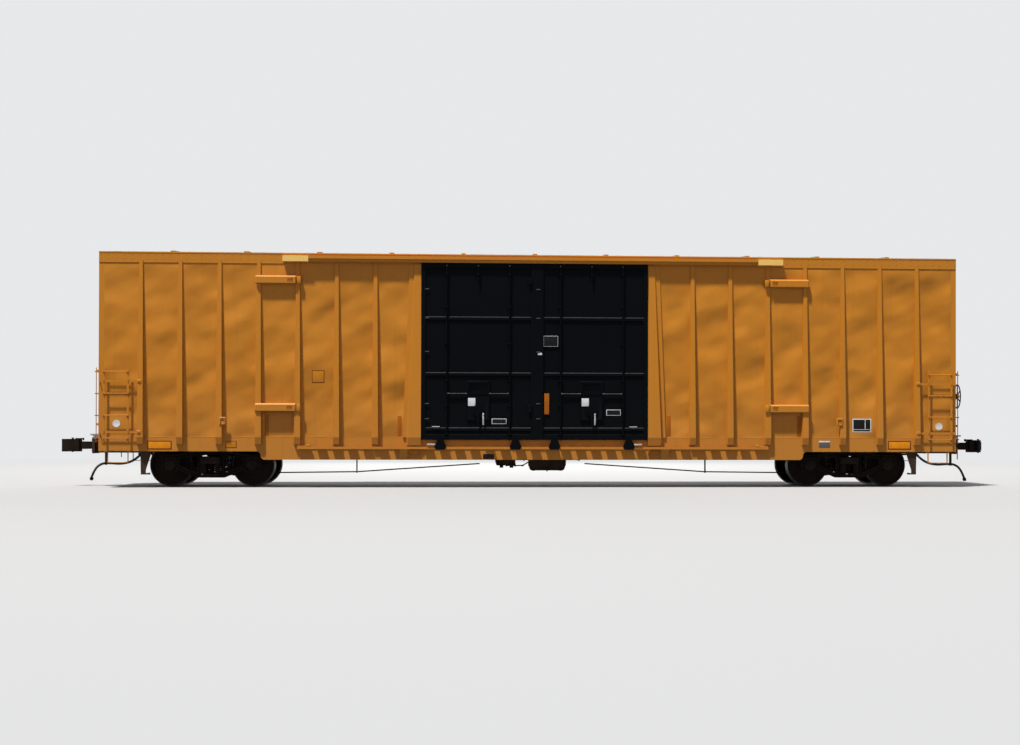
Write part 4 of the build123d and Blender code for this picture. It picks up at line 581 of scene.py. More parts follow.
ORIGIN = (0.0, 0.0, 0.0)
HERE = Matrix.Identity(4)


def shift(x: float = 0.0, y: float = 0.0, z: float = 0.0) -> Matrix:
    """A move by that much along each axis."""
    return Matrix.Translation((x, y, z))


def turn(axis: str, degrees: float) -> Matrix:
    """A turn about an axis."""
    return Matrix.Rotation(math.radians(degrees), 4, axis)


def mirror(x: float = 1.0, y: float = 1.0) -> Matrix:
    """A mirror along the car or across it."""
    return Matrix.Diagonal((x, y, 1.0, 1.0))


def steps(first: float, last: float, count: int) -> list[float]:
    """Evenly spaced places from the first to the last."""
    return [first + (last - first) * k / (count - 1) for k in range(count)]


def middle(item: Item) -> Vector:
    """The middle of a face or an edge."""
    return sum((corner.co for corner in item.verts), Vector()) / len(item.verts)


def grid(x: Span, y: Span, z: Span, then: Matrix = HERE) -> list[Matrix]:
    """Every place with one of each coordinate's values, x changing slowest, and a turn there."""
    spans = ((span,) if isinstance(span, float) else span for span in (x, y, z))
    return [shift(*place) @ then for place in itertools.product(*spans)]


HALF_TURN = turn("Z", 180)
TO_END = turn("Z", 90)  # what points to -Y then points to +X
TO_TOP = turn("X", -90)
TO_GROUND = turn("X", 90)
BOTH_ENDS = (HERE, HALF_TURN)
FOUR_CORNERS = tuple(mirror(x, y) for x in (1.0, -1.0) for y in (1.0, -1.0))


def clear() -> None:
    """Leave edit mode and select nothing."""
    if bpy.context.object is not None and bpy.context.object.mode != "OBJECT":
        bpy.ops.object.mode_set(mode="OBJECT")
    bpy.ops.object.select_all(action="DESELECT")


def hold(piece: Piece) -> Piece:
    """Make one piece the only one selected and the active one.

    Args:
        piece: The piece.

    Returns:
        The same piece.
    """
    clear()
    piece.select_set(True)
    bpy.context.view_layer.objects.active = piece
    return piece


def settle(piece: Piece) -> Piece:
    """Put a piece's place into its mesh, so that its object sits at the origin.

    Args:
        piece: The piece.

    Returns:
        The same piece.
    """
    hold(piece)
    bpy.ops.object.transform_apply(location=True, rotation=True, scale=True)
    return piece


def block(low: Point, high: Point, bevel: float = 0.0, segments: int = 2) -> Piece:
    """Start from a cube between two corners and round its edges.

    Args:
        low: Lowest corner.
        high: Highest corner.
        bevel: Width of the bevel on every edge.
        segments: Steps across the bevel.

    Returns:
        The block.
    """
    clear()
    centre = [(a + b) / 2 for a, b in zip(low, high)]
    size = [abs(b - a) for a, b in zip(low, high)]
    bpy.ops.mesh.primitive_cube_add(size=1.0, location=centre, scale=size)
    piece = settle(bpy.context.object)
    return bevelled(piece, bevel, segments) if bevel else piece


def rod(start: Point, end: Point, radius: float, sides: int = 16, bevel: float = 0.0) -> Piece:
    """Start from a cylinder between two points.

    Args:
        start: Middle of the first end.
        end: Middle of the other end.
        radius: Its radius.
        sides: Faces round it.
        bevel: Width of the bevel on its rims.

    Returns:
        The rod.
    """
    clear()
    a, b = Vector(start), Vector(end)
    bpy.ops.mesh.primitive_cylinder_add(
        vertices=sides, radius=radius, depth=(b - a).length, location=(a + b) / 2,
        rotation=(b - a).to_track_quat("Z", "Y").to_euler())
    piece = settle(bpy.context.object)
    return bevelled(piece, bevel) if bevel else piece


def bevelled(piece: Piece, width: float, segments: int = 2, angle: float = 40.0) -> Piece:
    """Round a piece's sharp edges with an applied Bevel.

    Args:
        piece: The piece.
        width: Width of the bevel.
        segments: Steps across the bevel.
        angle: Edges sharper than this many degrees are rounded.

    Returns:
        The same piece.
    """
    hold(piece)
    step = piece.modifiers.new("round", "BEVEL")
    step.width = width
    step.segments = segments
    step.limit_method = "ANGLE"
    step.angle_limit = math.radians(angle)
    bpy.ops.object.modifier_apply(modifier=step.name)
    return piece


def shape(piece: Piece, work: Callable[[], object],
          wanted: Callable[[Item], bool] = lambda item: True,
          pick: Pick = Pick.FACES) -> Piece:
    """Work on the wanted faces or edges of a piece in edit mode.

    Args:
        piece: The piece.
        work: The operators to run.
        wanted: Whether a face or an edge is worked on.
        pick: Which of the two are selected.

    Returns:
        The same piece.
    """
    hold(piece)
    bpy.ops.object.mode_set(mode="EDIT")
    bpy.ops.mesh.select_mode(type=pick.value)
    bpy.ops.mesh.select_all(action="DESELECT")
    mesh = bmesh.from_edit_mesh(piece.data)
    for item in mesh.faces if pick is Pick.FACES else mesh.edges:
        item.select_set(wanted(item))
    bmesh.update_edit_mesh(piece.data)
    work()
    bpy.ops.object.mode_set(mode="OBJECT")
    return piece


def press(piece: Piece, side: Side, *insets: Pair, within: float = 0.9) -> Piece:
    """Inset one side of a piece.

    Args:
        piece: The piece.
        side: The side.
        insets: Thickness and depth of each inset in turn.
        within: Least cosine between a face's normal and the side's.

    Returns:
        The same piece.
    """
    def work() -> None:
        """Make the insets."""
        for thickness, depth in insets:
            bpy.ops.mesh.inset(thickness=thickness, depth=depth)
    return shape(piece, work, lambda face: face.normal.dot(Vector(side.value)) > within)


def narrow(piece: Piece, side: Side, factors: Point) -> Piece:
    """Scale one side of a piece about its own middle."""
    return shape(piece, lambda: bpy.ops.transform.resize(value=factors),
                 lambda face: face.normal.dot(Vector(side.value)) > 0.9)


def join(name: str, parts: Sequence[Piece]) -> Piece:
    """Join parts into one piece, with its normals pointing outwards.

    Args:
        name: Name of the piece.
        parts: What is joined.

    Returns:
        The piece.
    """
    clear()
    for part in parts:
        part.select_set(True)
    bpy.context.view_layer.objects.active = parts[0]
    if len(parts) > 1:
        bpy.ops.object.join()
    piece = bpy.context.object
    piece.name = piece.data.name = name
    return shape(piece, lambda: bpy.ops.mesh.normals_make_consistent(inside=False))


def copies(piece: Piece, places: Iterable[Matrix]) -> list[Piece]:
    """Copy a piece to each place, with a mesh of its own, and drop the pattern.

    Args:
        piece: The pattern.
        places: Where the copies go.

    Returns:
        The copies.
    """
    made = []
    for place in places:
        copy = piece.copy()
        copy.data = piece.data.copy()
        copy.data.transform(place)
        bpy.context.scene.collection.objects.link(copy)
        made.append(copy)
    bpy.data.objects.remove(piece)
    return made


def bolts(radius: float, height: float, places: Iterable[Matrix]) -> list[Piece]:
    """Model a bolt's hexagon head on its washer and copy it.

    Args:
        radius: From the head's middle to its corners.
        height: Of the head over its washer.
        places: What moves the head, which stands on y = 0 and points to -Y.

    Returns:
        The heads.
    """
    head = press(rod(ORIGIN, (0, -height, 0), radius, 6), Side.OUT, (radius * 0.2, height * 0.14))
    washer = rod(ORIGIN, (0, -height * 0.25, 0), radius * 1.3, 12)
    return copies(join("bolt", [head, washer]), places)


def rivets(radius: float, height: float, places: Iterable[Matrix]) -> list[Piece]:
    """Model a rivet's domed head and copy it.

    Args:
        radius: Of the head.
        height: Of the head.
        places: What moves the head, which stands on y = 0 and points to -Y.

    Returns:
        The heads.
    """
    head = press(rod(ORIGIN, (0, -height * 0.6, 0), radius, 8), Side.OUT,
                 (radius * 0.4, height * 0.4))
    return copies(head, places)


def paint(thing: Piece, material: bpy.types.Material) -> None:
    """Give an object one material."""
    thing.data.materials.clear()
    thing.data.materials.append(material)


# The car


PAINTED: dict[Finish, tuple[str, ...]] = {
    Finish.BODY: ("side_posts", "door_posts", "top_chords", "corner_posts", "lower_door_tracks",
                  "door_stops", "ladders", "sill_steps", "side_sills", "end_sills",
                  "hand_brake_housing", "uncoupling_levers"),
    Finish.RAIL: ("upper_door_rails",),
    Finish.SHEET: ("side_wall_left", "side_wall_right", "end_wall_a", "end_wall_b"),
    Finish.DOOR: ("plug_door_left_a", "plug_door_left_b", "plug_door_right_a",
                  "plug_door_right_b", "door_gear"),
    Finish.FRAME: ("centre_sill", "body_bolsters", "crossbearers", "roping_brackets",
                   "air_reservoir", "brake_cylinder", "control_valve", "brake_pipe",
                   "brake_rods", "hose_couplings"),
    Finish.CAST: ("coupler_a", "coupler_b", "knuckle_a", "knuckle_b", "side_frames_a",
                  "side_frames_b", "truck_bolster_a", "truck_bolster_b", "spring_nests_a",
                  "spring_nests_b", "bearings_a", "bearings_b", "brake_beams_a",
                  "brake_beams_b", "hand_brake_wheel"),
    Finish.ZINC: ("roof", "end_platforms"),
    Finish.PLANKS: ("floor",),
}


def dress(nodes: dict[str, Piece], shop: Shop) -> None:
    """Paint every CAD node, and each wheelset with a bright tread round its own axle.

    Args:
        nodes: The nodes by name.
        shop: The materials.
    """
    for finish, names in PAINTED.items():
        for name in names:
            paint(nodes[name], shop[finish])
    for number, x in enumerate(AXLE_X, start=1):
        steel = RustySteel(f"wheel_steel_{x:+.2f}", (0.0075, 0.0060, 0.0050),
                           (0.024, 0.014, 0.0095), dust=(0.038, 0.029, 0.022), shine=0.10,
                           tread_at=x).build()
        for kind in ("axle", "wheels"):
            paint(nodes[f"{kind}_{number}"], steel)
    log.info("paint on %d nodes", len(nodes))


@dataclass
class Group:
    """Small pieces, drawn at their heights above the rail."""

    shop: Shop

    def add(self, name: str, parts: Sequence[Piece], finish: Finish,
            places: Sequence[Matrix] = (), body: str = "carbody", slot: str = "",
            stands_for: Sequence[str] = (), angle: float = 35.0) -> Piece:
        """Join parts into a piece, dress it and fasten it to the model.

        Args:
            name: Name of the piece.
            parts: What is joined.
            finish: Its finish.
            places: Where copies go, instead of the place where the parts are drawn.
            body: The CAD body that carries it.
            slot: The record's material slot, where it isn't the finish's own. Not used.
            stands_for: CAD nodes that it replaces.
            angle: Edges sharper than this many degrees stay sharp.

        Returns:
            The piece.
        """
        piece = join(name, parts)
        if places:
            piece = join(name, copies(piece, places))
        hold(piece)
        bpy.ops.object.shade_smooth_by_angle(angle=math.radians(angle))
        piece.data.transform(shift(z=RAIL))
        paint(piece, self.shop[finish])
        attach(piece, body)
        if stands_for:
            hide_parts(*stands_for)
        log.info("piece %s", piece.name)
        return piece


@dataclass
class AirHose(Group):
    """The air hose at one end, hanging from its end cock to its coupling."""

    tag: str
    end: int
    radius: float = 0.026
    length: float = 1.258
    line_y: float = -0.330
    route: Pairs = (
        (8.822, 0.648), (8.920, 0.556), (9.075, 0.480), (9.275, 0.452), (9.475, 0.470),
        (9.665, 0.466), (9.815, 0.350), (9.880, 0.180))
    # Start, end, radius, sides and bevel of the coupling's neck and its two collars.
    neck: tuple[tuple[float, float, float, int, float], ...] = (
        (-0.012, 0.055, 0.021, 16, 0.0), (0.002, 0.010, 0.030, 20, 0.002),
        (0.019, 0.027, 0.030, 20, 0.002))

    def build(self) -> None:
        """Draw the hose as one smooth round curve, with the coupling on its free end."""
        curve = bpy.data.curves.new(f"air_hose_rubber_{self.tag}", "CURVE")
        curve.dimensions = "3D"
        curve.bevel_depth = self.radius
        curve.bevel_resolution = 6
        curve.resolution_u = 10
        curve.use_fill_caps = True
        line = curve.splines.new("NURBS")
        points = [Vector((self.end * x, self.end * self.line_y, z + RAIL)) for x, z in self.route]
        line.points.add(len(points) - 1)
        for slot, point in zip(line.points, points):
            slot.co = (*point, 1.0)
        line.order_u = 3
        line.use_endpoint_u = True
        hose = bpy.data.objects.new(curve.name, curve)
        bpy.context.scene.collection.objects.link(hose)
        curve.materials.append(self.shop[Finish.RUBBER])
        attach(hose, "carbody")
        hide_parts(f"air_hose_{self.tag}")
        log.info("piece %s", hose.name)
        self._coupling()

    def _coupling(self) -> Piece:
        """Model the coupling: a ribbed neck, a round chamber, its gasket face and its hook.

        Returns:
            The coupling.
        """
        (x0, z0), (x1, z1) = self.route[-2:]
        along = Vector((x1 - x0, 0, z1 - z0)).normalized()
        tip = Vector((x1, self.line_y, z1))
        neck = [rod(tip + along * start, tip + along * end, *size)
                for start, end, *size in self.neck]
        centre = Vector((x1 + 0.012, self.line_y - 0.020, z1 - 0.060))
        chamber = rod(centre + Vector((0, -0.018, 0)), centre + Vector((0, 0.020, 0)), 0.041, 28)
        bevelled(press(chamber, Side.OUT, (0.011, 0.0), (0.004, -0.007)), 0.002)
        hook = block(centre + Vector((0.012, -0.020, -0.038)),
                     centre + Vector((0.040, -0.006, 0.020)), 0.003)
        return self.add(f"hose_coupling_{self.tag}", [*neck, chamber, hook], Finish.CAST,
                        [HALF_TURN] if self.end < 0 else (), stands_for=["hose_couplings"])


@dataclass
class CoilSprings(Group):
    """The coil springs of one truck, an outer and an inner coil at each place of the nest."""

    tag: str
    truck_x: float
    bearing_y: float = 1.0035
    seat: float = 0.2523
    height: float = 0.228
    nest: Pairs = ((-0.142, -0.120), (0.142, -0.120), (-0.142, 0.120), (0.142, 0.120), (0.0, 0.0))
    # Radius, wire radius, turns, steps a turn and sides of the wire.
    coils: tuple[tuple[float, float, int, int, int], ...] = (
        (0.0530, 0.0145, 5, 14, 8), (0.0280, 0.0085, 8, 10, 6))

    def build(self) -> None:
        """Wind the coils and set them on the side frames' seats."""
        places = [shift(self.truck_x + dx, side * self.bearing_y + dy, self.seat)
                  for side in (-1, 1) for dx, dy in self.nest]
        springs = [spring for coil in self.coils for spring in copies(self._coil(*coil), places)]
        self.add(f"coil_springs_{self.tag}", springs, Finish.CAST, body=f"truck_{self.tag}",
                 stands_for=[f"spring_nests_{self.tag}"], angle=50.0)

    def _coil(self, radius: float, wire: float, turns: int, around: int, sides: int) -> Piece:
        """Wind one coil from a ring of wire.

        Args:
            radius: From the coil's axis to the middle of the wire.
            wire: Radius of the wire.
            turns: Number of turns.
            around: Steps in a turn.
            sides: Faces round the wire.

        Returns:
            The coil, standing on the origin.
        """
        clear()
        bpy.ops.mesh.primitive_circle_add(vertices=sides, radius=wire, location=(radius, 0, wire),
                                          rotation=(math.pi / 2, 0, 0))
        coil = settle(bpy.context.object)
        wind = coil.modifiers.new("wind", "SCREW")
        wind.screw_offset = (self.height - 2 * wire) / turns
        wind.iterations = turns
        wind.steps = wind.render_steps = around
        bpy.ops.object.modifier_apply(modifier=wind.name)
        return shape(coil, lambda: bpy.ops.mesh.fill_holes(sides=0))


@dataclass
class AxleCaps(Group):
    """The locking plate, hub and cap screws on both ends of one wheelset's axle."""

    number: int
    axle_x: float
    face_y: float = 1.1195
    ring: float = 0.052

    def build(self) -> None:
        """Model one end and mirror it to the other."""
        lock = rod(ORIGIN, (0, -0.004, 0), 0.074, 24, 0.001)
        hub = rod(ORIGIN, (0, -0.009, 0), 0.020, 16, 0.002)
        screws = bolts(0.017, 0.012, [turn("Y", 30 + 120 * k) @ shift(self.ring, -0.004)
                                      for k in range(3)])
        at_face = shift(self.axle_x, -self.face_y, AXLE_Z)
        self.add(f"axle_caps_{self.number}", [lock, hub, *screws], Finish.CAST,
                 [at_face, mirror(y=-1.0) @ at_face], f"wheelset_{self.number}")


@dataclass
class TruckFittings(Group):
    """Bearing keepers, wear plates, bosses and bolts on the frames and bolster of one truck."""

    tag: str
    truck_x: float
    frame_y: float = 1.0035
    keeper: float = 0.018  # half its width
    keeper_x: Pair = (0.743, 1.035)
    leg_tops: Pair = (0.400, 0.425)
    boss_z: Row = (0.34, 0.44, 0.54, 0.63)
    frame_bolts: Pairs = ((0.10, 0.757), (0.36, 0.725), (0.05, 0.197), (0.20, 0.197))
    key: Point = (0.3798, 0.7555, 0.250)

    def build(self) -> None:
        """Model the fittings of one corner and copy them to the other three."""
        y, (near, far) = self.frame_y, self.keeper_x
        y0, y1 = y - self.keeper, y + self.keeper
        legs = [block((x - 0.014, y0, 0.312), (x + 0.014, y1, top), 0.003)
                for x, top in zip(self.keeper_x, self.leg_tops)]
        lug = block((0.150, y + 0.1895, 0.500), (0.196, y + 0.2050, 0.612), 0.005)
        boss = rod(ORIGIN, (0, 0.012, 0), 0.012, 12, 0.003)
        key_x, key_y, key_z = self.key
        parts = [
            block((near - 0.010, y0, 0.300), (far + 0.010, y1, 0.320), 0.004), *legs,
            *bolts(0.013, 0.010, [*grid(self.keeper_x, y0, 0.345),
                                  *grid(self.keeper_x, y1, 0.345, HALF_TURN)]),
            # Wear plate on the column and the bolster's lug.
            block((0.2075, y - 0.060, 0.500), (0.2175, y + 0.060, 0.640), 0.002),
            press(lug, Side.BACK, (0.007, -0.003)),
            *copies(boss, grid(0.251, y + 0.016, self.boss_z)),
            *bolts(0.009, 0.008, [shift(x, y + 0.075, z) @ HALF_TURN for x, z in self.frame_bolts]),
            # Spring key of the brake head.
            rod(self.key, (key_x - 0.012, key_y, key_z + 0.220), 0.006, 8),
            rod((key_x - 0.012, key_y, key_z + 0.218), (key_x - 0.030, key_y, key_z + 0.228),
                0.008, 8, 0.002),
        ]
        self.add(f"truck_fittings_{self.tag}", parts, Finish.CAST,
                 [shift(self.truck_x) @ corner for corner in FOUR_CORNERS], f"truck_{self.tag}")


@dataclass
class DoorFittings(Group):
    """What is bolted to one plug door, drawn at the +X -Y door: gear, guides, levers and links."""

    name: str
    place: Matrix
    lever_x: float
    middle: float = 1.240
    rod_offset: float = 0.685
    pan: float = -1.522
    face: float = -1.5483
    cover: float = -1.556
    cover_half: float = 0.255
    cover_z: Pair = (1.430, 2.300)
    cover_bolts: Row = (1.452, 1.75, 2.05, 2.278)
    gear_z: float = 1.653
    guide_z: Row = (1.13, 1.75, 2.30, 3.10, 3.90, 4.62)
    lever_z: Pair = (1.335, 1.596)
    lever_pin: float = 1.560
    rod_top: Pair = (4.800, 4.812)
    catch: tuple[Point, Point] = ((2.170, -1.6215, 0.896), (2.342, -1.6075, 0.930))
    grip_x: Pair = (2.070, 2.240)
    grip_stubs: Pair = (2.078, 2.232)
    grip_z: float = 1.300
    link_y: float = -1.5735
    link_z: float = 2.022

    def build(self) -> None:
        """Model the dark, the light and the bare fittings of the door."""
        for kind, parts, finish in (
                ("fittings", [*self._gear_cover(), *self._guides(), *self._rivets()], Finish.DOOR),
                ("levers", self._lights(), Finish.WORN_WHITE),
                ("links", self._links(), Finish.WORN_STEEL)):
            self.add(f"door_{kind}_{self.name}", parts, finish, [self.place])

    def _gear_cover(self) -> list[Piece]:
        """The pressed cover behind the gear disc, with the teeth and bolts of the gear.

        Returns:
            The cover's parts.
        """
        x, half, (low, high) = self.middle, self.cover_half, self.cover_z
        cover = block((x - half, self.cover, low), (x + half, self.pan - 0.0005, high), 0.014, 3)
        tooth = block((-0.007, -0.026, 0.114), (0.007, -0.004, 0.131), 0.002, 1)
        at_gear = shift(x, self.cover, self.gear_z)
        return [
            press(cover, Side.OUT, (0.030, 0.0), (0.006, -0.004), within=0.99),
            *copies(tooth, [at_gear @ turn("Y", 15 * k) for k in range(24)]),
            *bolts(0.010, 0.009, [at_gear @ turn("Y", 30 + 60 * k) @ shift(0.080, -0.0265)
                                  for k in range(6)]),
            *bolts(0.011, 0.009, grid((x - 0.235, x + 0.235), self.cover, self.cover_bolts))]

    def _guides(self) -> list[Piece]:
        """Guides that hold the lock rods, each with its two bolts.

        Returns:
            The guides.
        """
        face = self.face
        guide = join("rod_guide", [
            block((-0.024, face - 0.040, -0.020), (0.024, face + 0.004, 0.020), 0.007),
            block((-0.050, face - 0.007, -0.018), (0.050, face + 0.027, 0.018), 0.002, 1),
            *bolts(0.008, 0.006, grid((-0.037, 0.037), face - 0.007, 0.0))])
        x, away = self.middle, self.rod_offset
        return copies(guide, [*grid((x - away, x + away), 0.0, self.guide_z),
                              shift(x, 0, self.guide_z[-1])])

    def _rivets(self) -> list[Piece]:
        """Rivets round the door's frame.

        Returns:
            The rivets.
        """
        face = self.face + 0.0003
        return rivets(0.008, 0.005, [*grid((0.230, 2.440), face, steps(1.10, 4.78, 11)),
                                     *grid(steps(0.45, 2.25, 8), face, (1.055, 4.822))])

    def _lights(self) -> list[Piece]:
        """The light parts: lever, rod tops, the roller's catch and the grip.

        Returns:
            The light parts.
        """
        x, cover, pin, (low, high) = self.lever_x, self.cover, self.lever_pin, self.lever_z
        lever = block((x - 0.017, cover - 0.030, low), (x + 0.017, cover - 0.016, high), 0.004)
        top_y, (foot, top) = self.face - 0.017, self.rod_top
        grip_y, grip_z, (left, right) = self.face - 0.026, self.grip_z, self.grip_x
        return [
            narrow(lever, Side.BOTTOM, (0.6, 1.0, 1.0)),
            rod((x, cover + 0.002, pin), (x, cover - 0.034, pin), 0.014, 12, 0.002),
            *(rod((self.middle + away, top_y, foot), (self.middle + away, top_y, top), 0.013, 8)
              for away in (-self.rod_offset, 0.0, self.rod_offset)),
            block(*self.catch, 0.004),
            rod((left, grip_y, grip_z), (right, grip_y, grip_z), 0.008, 8),
            *(rod((stub, self.pan, grip_z), (stub, grip_y, grip_z), 0.008, 8)
              for stub in self.grip_stubs)]

    def _links(self) -> list[Piece]:
        """The bare rods from the gear to the lock rods, with a clevis at both ends.

        Returns:
            The rods and clevises.
        """
        made = []
        y, z = self.link_y, self.link_z
        for side in (-1, 1):
            ends = [self.middle + side * away for away in (0.262, self.rod_offset - 0.040)]
            made.append(rod((ends[0], y, z), (ends[1], y, z), 0.0065, 8))
            made += [block((x - 0.022, y - 0.012, z - 0.013),
                           (x + 0.022, y + 0.012, z + 0.013), 0.004) for x in ends]
        return made


@dataclass
class MeetingLine(Group):
    """The catches and tabs along the left edges of both doors of a side."""

    frame: float = -1.5483
    strip: float = -1.5620
    catches: Pairs = ((4.397, 4.528), (1.602, 1.776))
    catch_x: Pair = (-0.150, -0.066)
    pin_x: float = -0.108
    edges: Row = (1.475, 1.805, 2.935, 3.670, 4.300)
    tab_x: Pair = (-2.391, 0.027)

    def build(self) -> None:
        """Model the side's catches and tabs and turn a copy to the other side."""
        catches, (left, right) = [], self.catch_x
        for low, high in self.catches:
            case = block((left, self.strip - 0.030, low), (right, self.frame + 0.006, high),
                         0.010, 3)
            pin_z = (low + high) / 2
            catches += [press(case, Side.OUT, (0.014, 0.0), (0.004, -0.008)),
                        rod((self.pin_x, self.strip - 0.018, pin_z),
                            (self.pin_x, self.strip - 0.036, pin_z), 0.015, 12, 0.003)]
        self.add("door_catches", catches, Finish.DOOR, BOTH_ENDS)
        tabs = [self._tab(x, face, z) for z in self.edges
                for x, face in zip(self.tab_x, (self.frame, self.strip))]
        self.add("door_tabs", tabs, Finish.WORN_STEEL, BOTH_ENDS)

    @staticmethod
    def _tab(x: float, face: float, z: float) -> Piece:
        """A thin folded tab with its lip.

        Args:
            x: Its left end.
            face: The face that carries it.
            z: Height of its middle.

        Returns:
            The tab.
        """
        tab = block((x, face - 0.004, z - 0.014), (x + 0.086, face + 0.001, z + 0.008))

        def fold() -> None:
            """Draw the face in and pull the lip out of it."""
            bpy.ops.mesh.inset(thickness=0.005, depth=0.0)
            bpy.ops.mesh.extrude_region_move(TRANSFORM_OT_translate={"value": (0.0, -0.008, 0.004)})
        return shape(tab, fold, lambda item: item.normal.y < -0.9)


# The faces that carry the blank plates, and the thickness of a plate.
ON_SHEET, ON_SILL, ON_COVER, ON_FRAME, ON_PAN = -1.4782, -1.4862, -1.5562, -1.5484, -1.5222
THICK = 0.002
# Left, right, bottom, top and face of each plate, as seen from the -Y side.
PLATES: dict[Finish, tuple[tuple[float, float, float, float, float], ...]] = {
    Finish.AMBER: (
        (-5.843, -5.757, 1.100, 1.556, ON_SHEET), (-2.985, -2.900, 1.095, 1.530, ON_SHEET),
        (2.905, 2.990, 1.100, 1.544, ON_SHEET), (5.800, 5.886, 1.104, 1.551, ON_SHEET),
        (0.204, 0.308, 1.574, 2.030, ON_FRAME)),
    Finish.ORANGE: (
        (-8.314, -7.844, 0.819, 0.963, ON_SILL - THICK),
        (7.862, 8.334, 0.833, 0.979, ON_SILL - THICK)),
    Finish.BROWN: (
        (-8.336, -7.822, 0.797, 0.985, ON_SILL), (7.840, 8.356, 0.811, 1.001, ON_SILL),
        (-6.677, -6.440, 0.832, 0.981, ON_SILL), (-4.835, -4.565, 2.245, 2.514, ON_SHEET)),
    Finish.GREY: ((6.289, 6.536, 0.850, 0.968, ON_SILL),),
    Finish.WHITE: (
        (6.289, 6.536, 0.968, 0.999, ON_SILL), (7.040, 7.463, 1.194, 1.494, ON_SHEET),
        (-1.458, -1.300, 1.752, 1.925, ON_COVER), (1.020, 1.178, 1.752, 1.925, ON_COVER),
        (-0.942, -0.622, 1.362, 1.478, ON_PAN), (1.565, 1.880, 1.550, 1.680, ON_PAN),
        (0.184, 0.500, 3.054, 3.286, ON_FRAME), (0.060, 0.150, 2.868, 2.916, -1.5622)),
    Finish.BLACK: (
        (7.062, 7.318, 1.262, 1.472, ON_SHEET - THICK),
        (7.334, 7.441, 1.262, 1.472, ON_SHEET - THICK),
        (7.062, 7.441, 1.216, 1.248, ON_SHEET - THICK), (-1.130, -0.890, 0.597, 0.705, ON_SILL),
        (-0.930, -0.634, 1.374, 1.466, ON_PAN - THICK),
        (1.577, 1.868, 1.562, 1.668, ON_PAN - THICK),
        (0.191, 0.493, 3.061, 3.279, ON_FRAME - THICK)),
    Finish.YELLOW: (
        (-6.665, -6.452, 0.844, 0.969, ON_SILL - THICK),
        (-4.820, -4.580, 2.260, 2.499, ON_SHEET - THICK)),
}


@dataclass
class Placards(Group):
    """The reflectors and the blank plates of both sides, one piece for each finish."""

    discs: Pairs = ((-8.997, 1.356), (8.990, 1.325))
    disc_radius: float = 0.080

    def build(self) -> None:
        """Cut every plate, with a raised rim, and fasten both sides' plates."""
        for finish, rows in PLATES.items():
            parts = [
                press(block((x0, face - THICK, z0), (x1, face, z1)), Side.OUT,
                      (0.003, 0.0006)) for x0, x1, z0, z1, face in rows]
            if finish is Finish.WHITE:
                parts += [
                    press(rod((x, ON_SHEET, z), (x, ON_SHEET - THICK, z),
                              self.disc_radius, 32), Side.OUT, (0.006, -0.0008))
                    for x, z in self.discs]
            self.add(f"plates_{finish.name.lower()}", parts, finish, BOTH_ENDS)


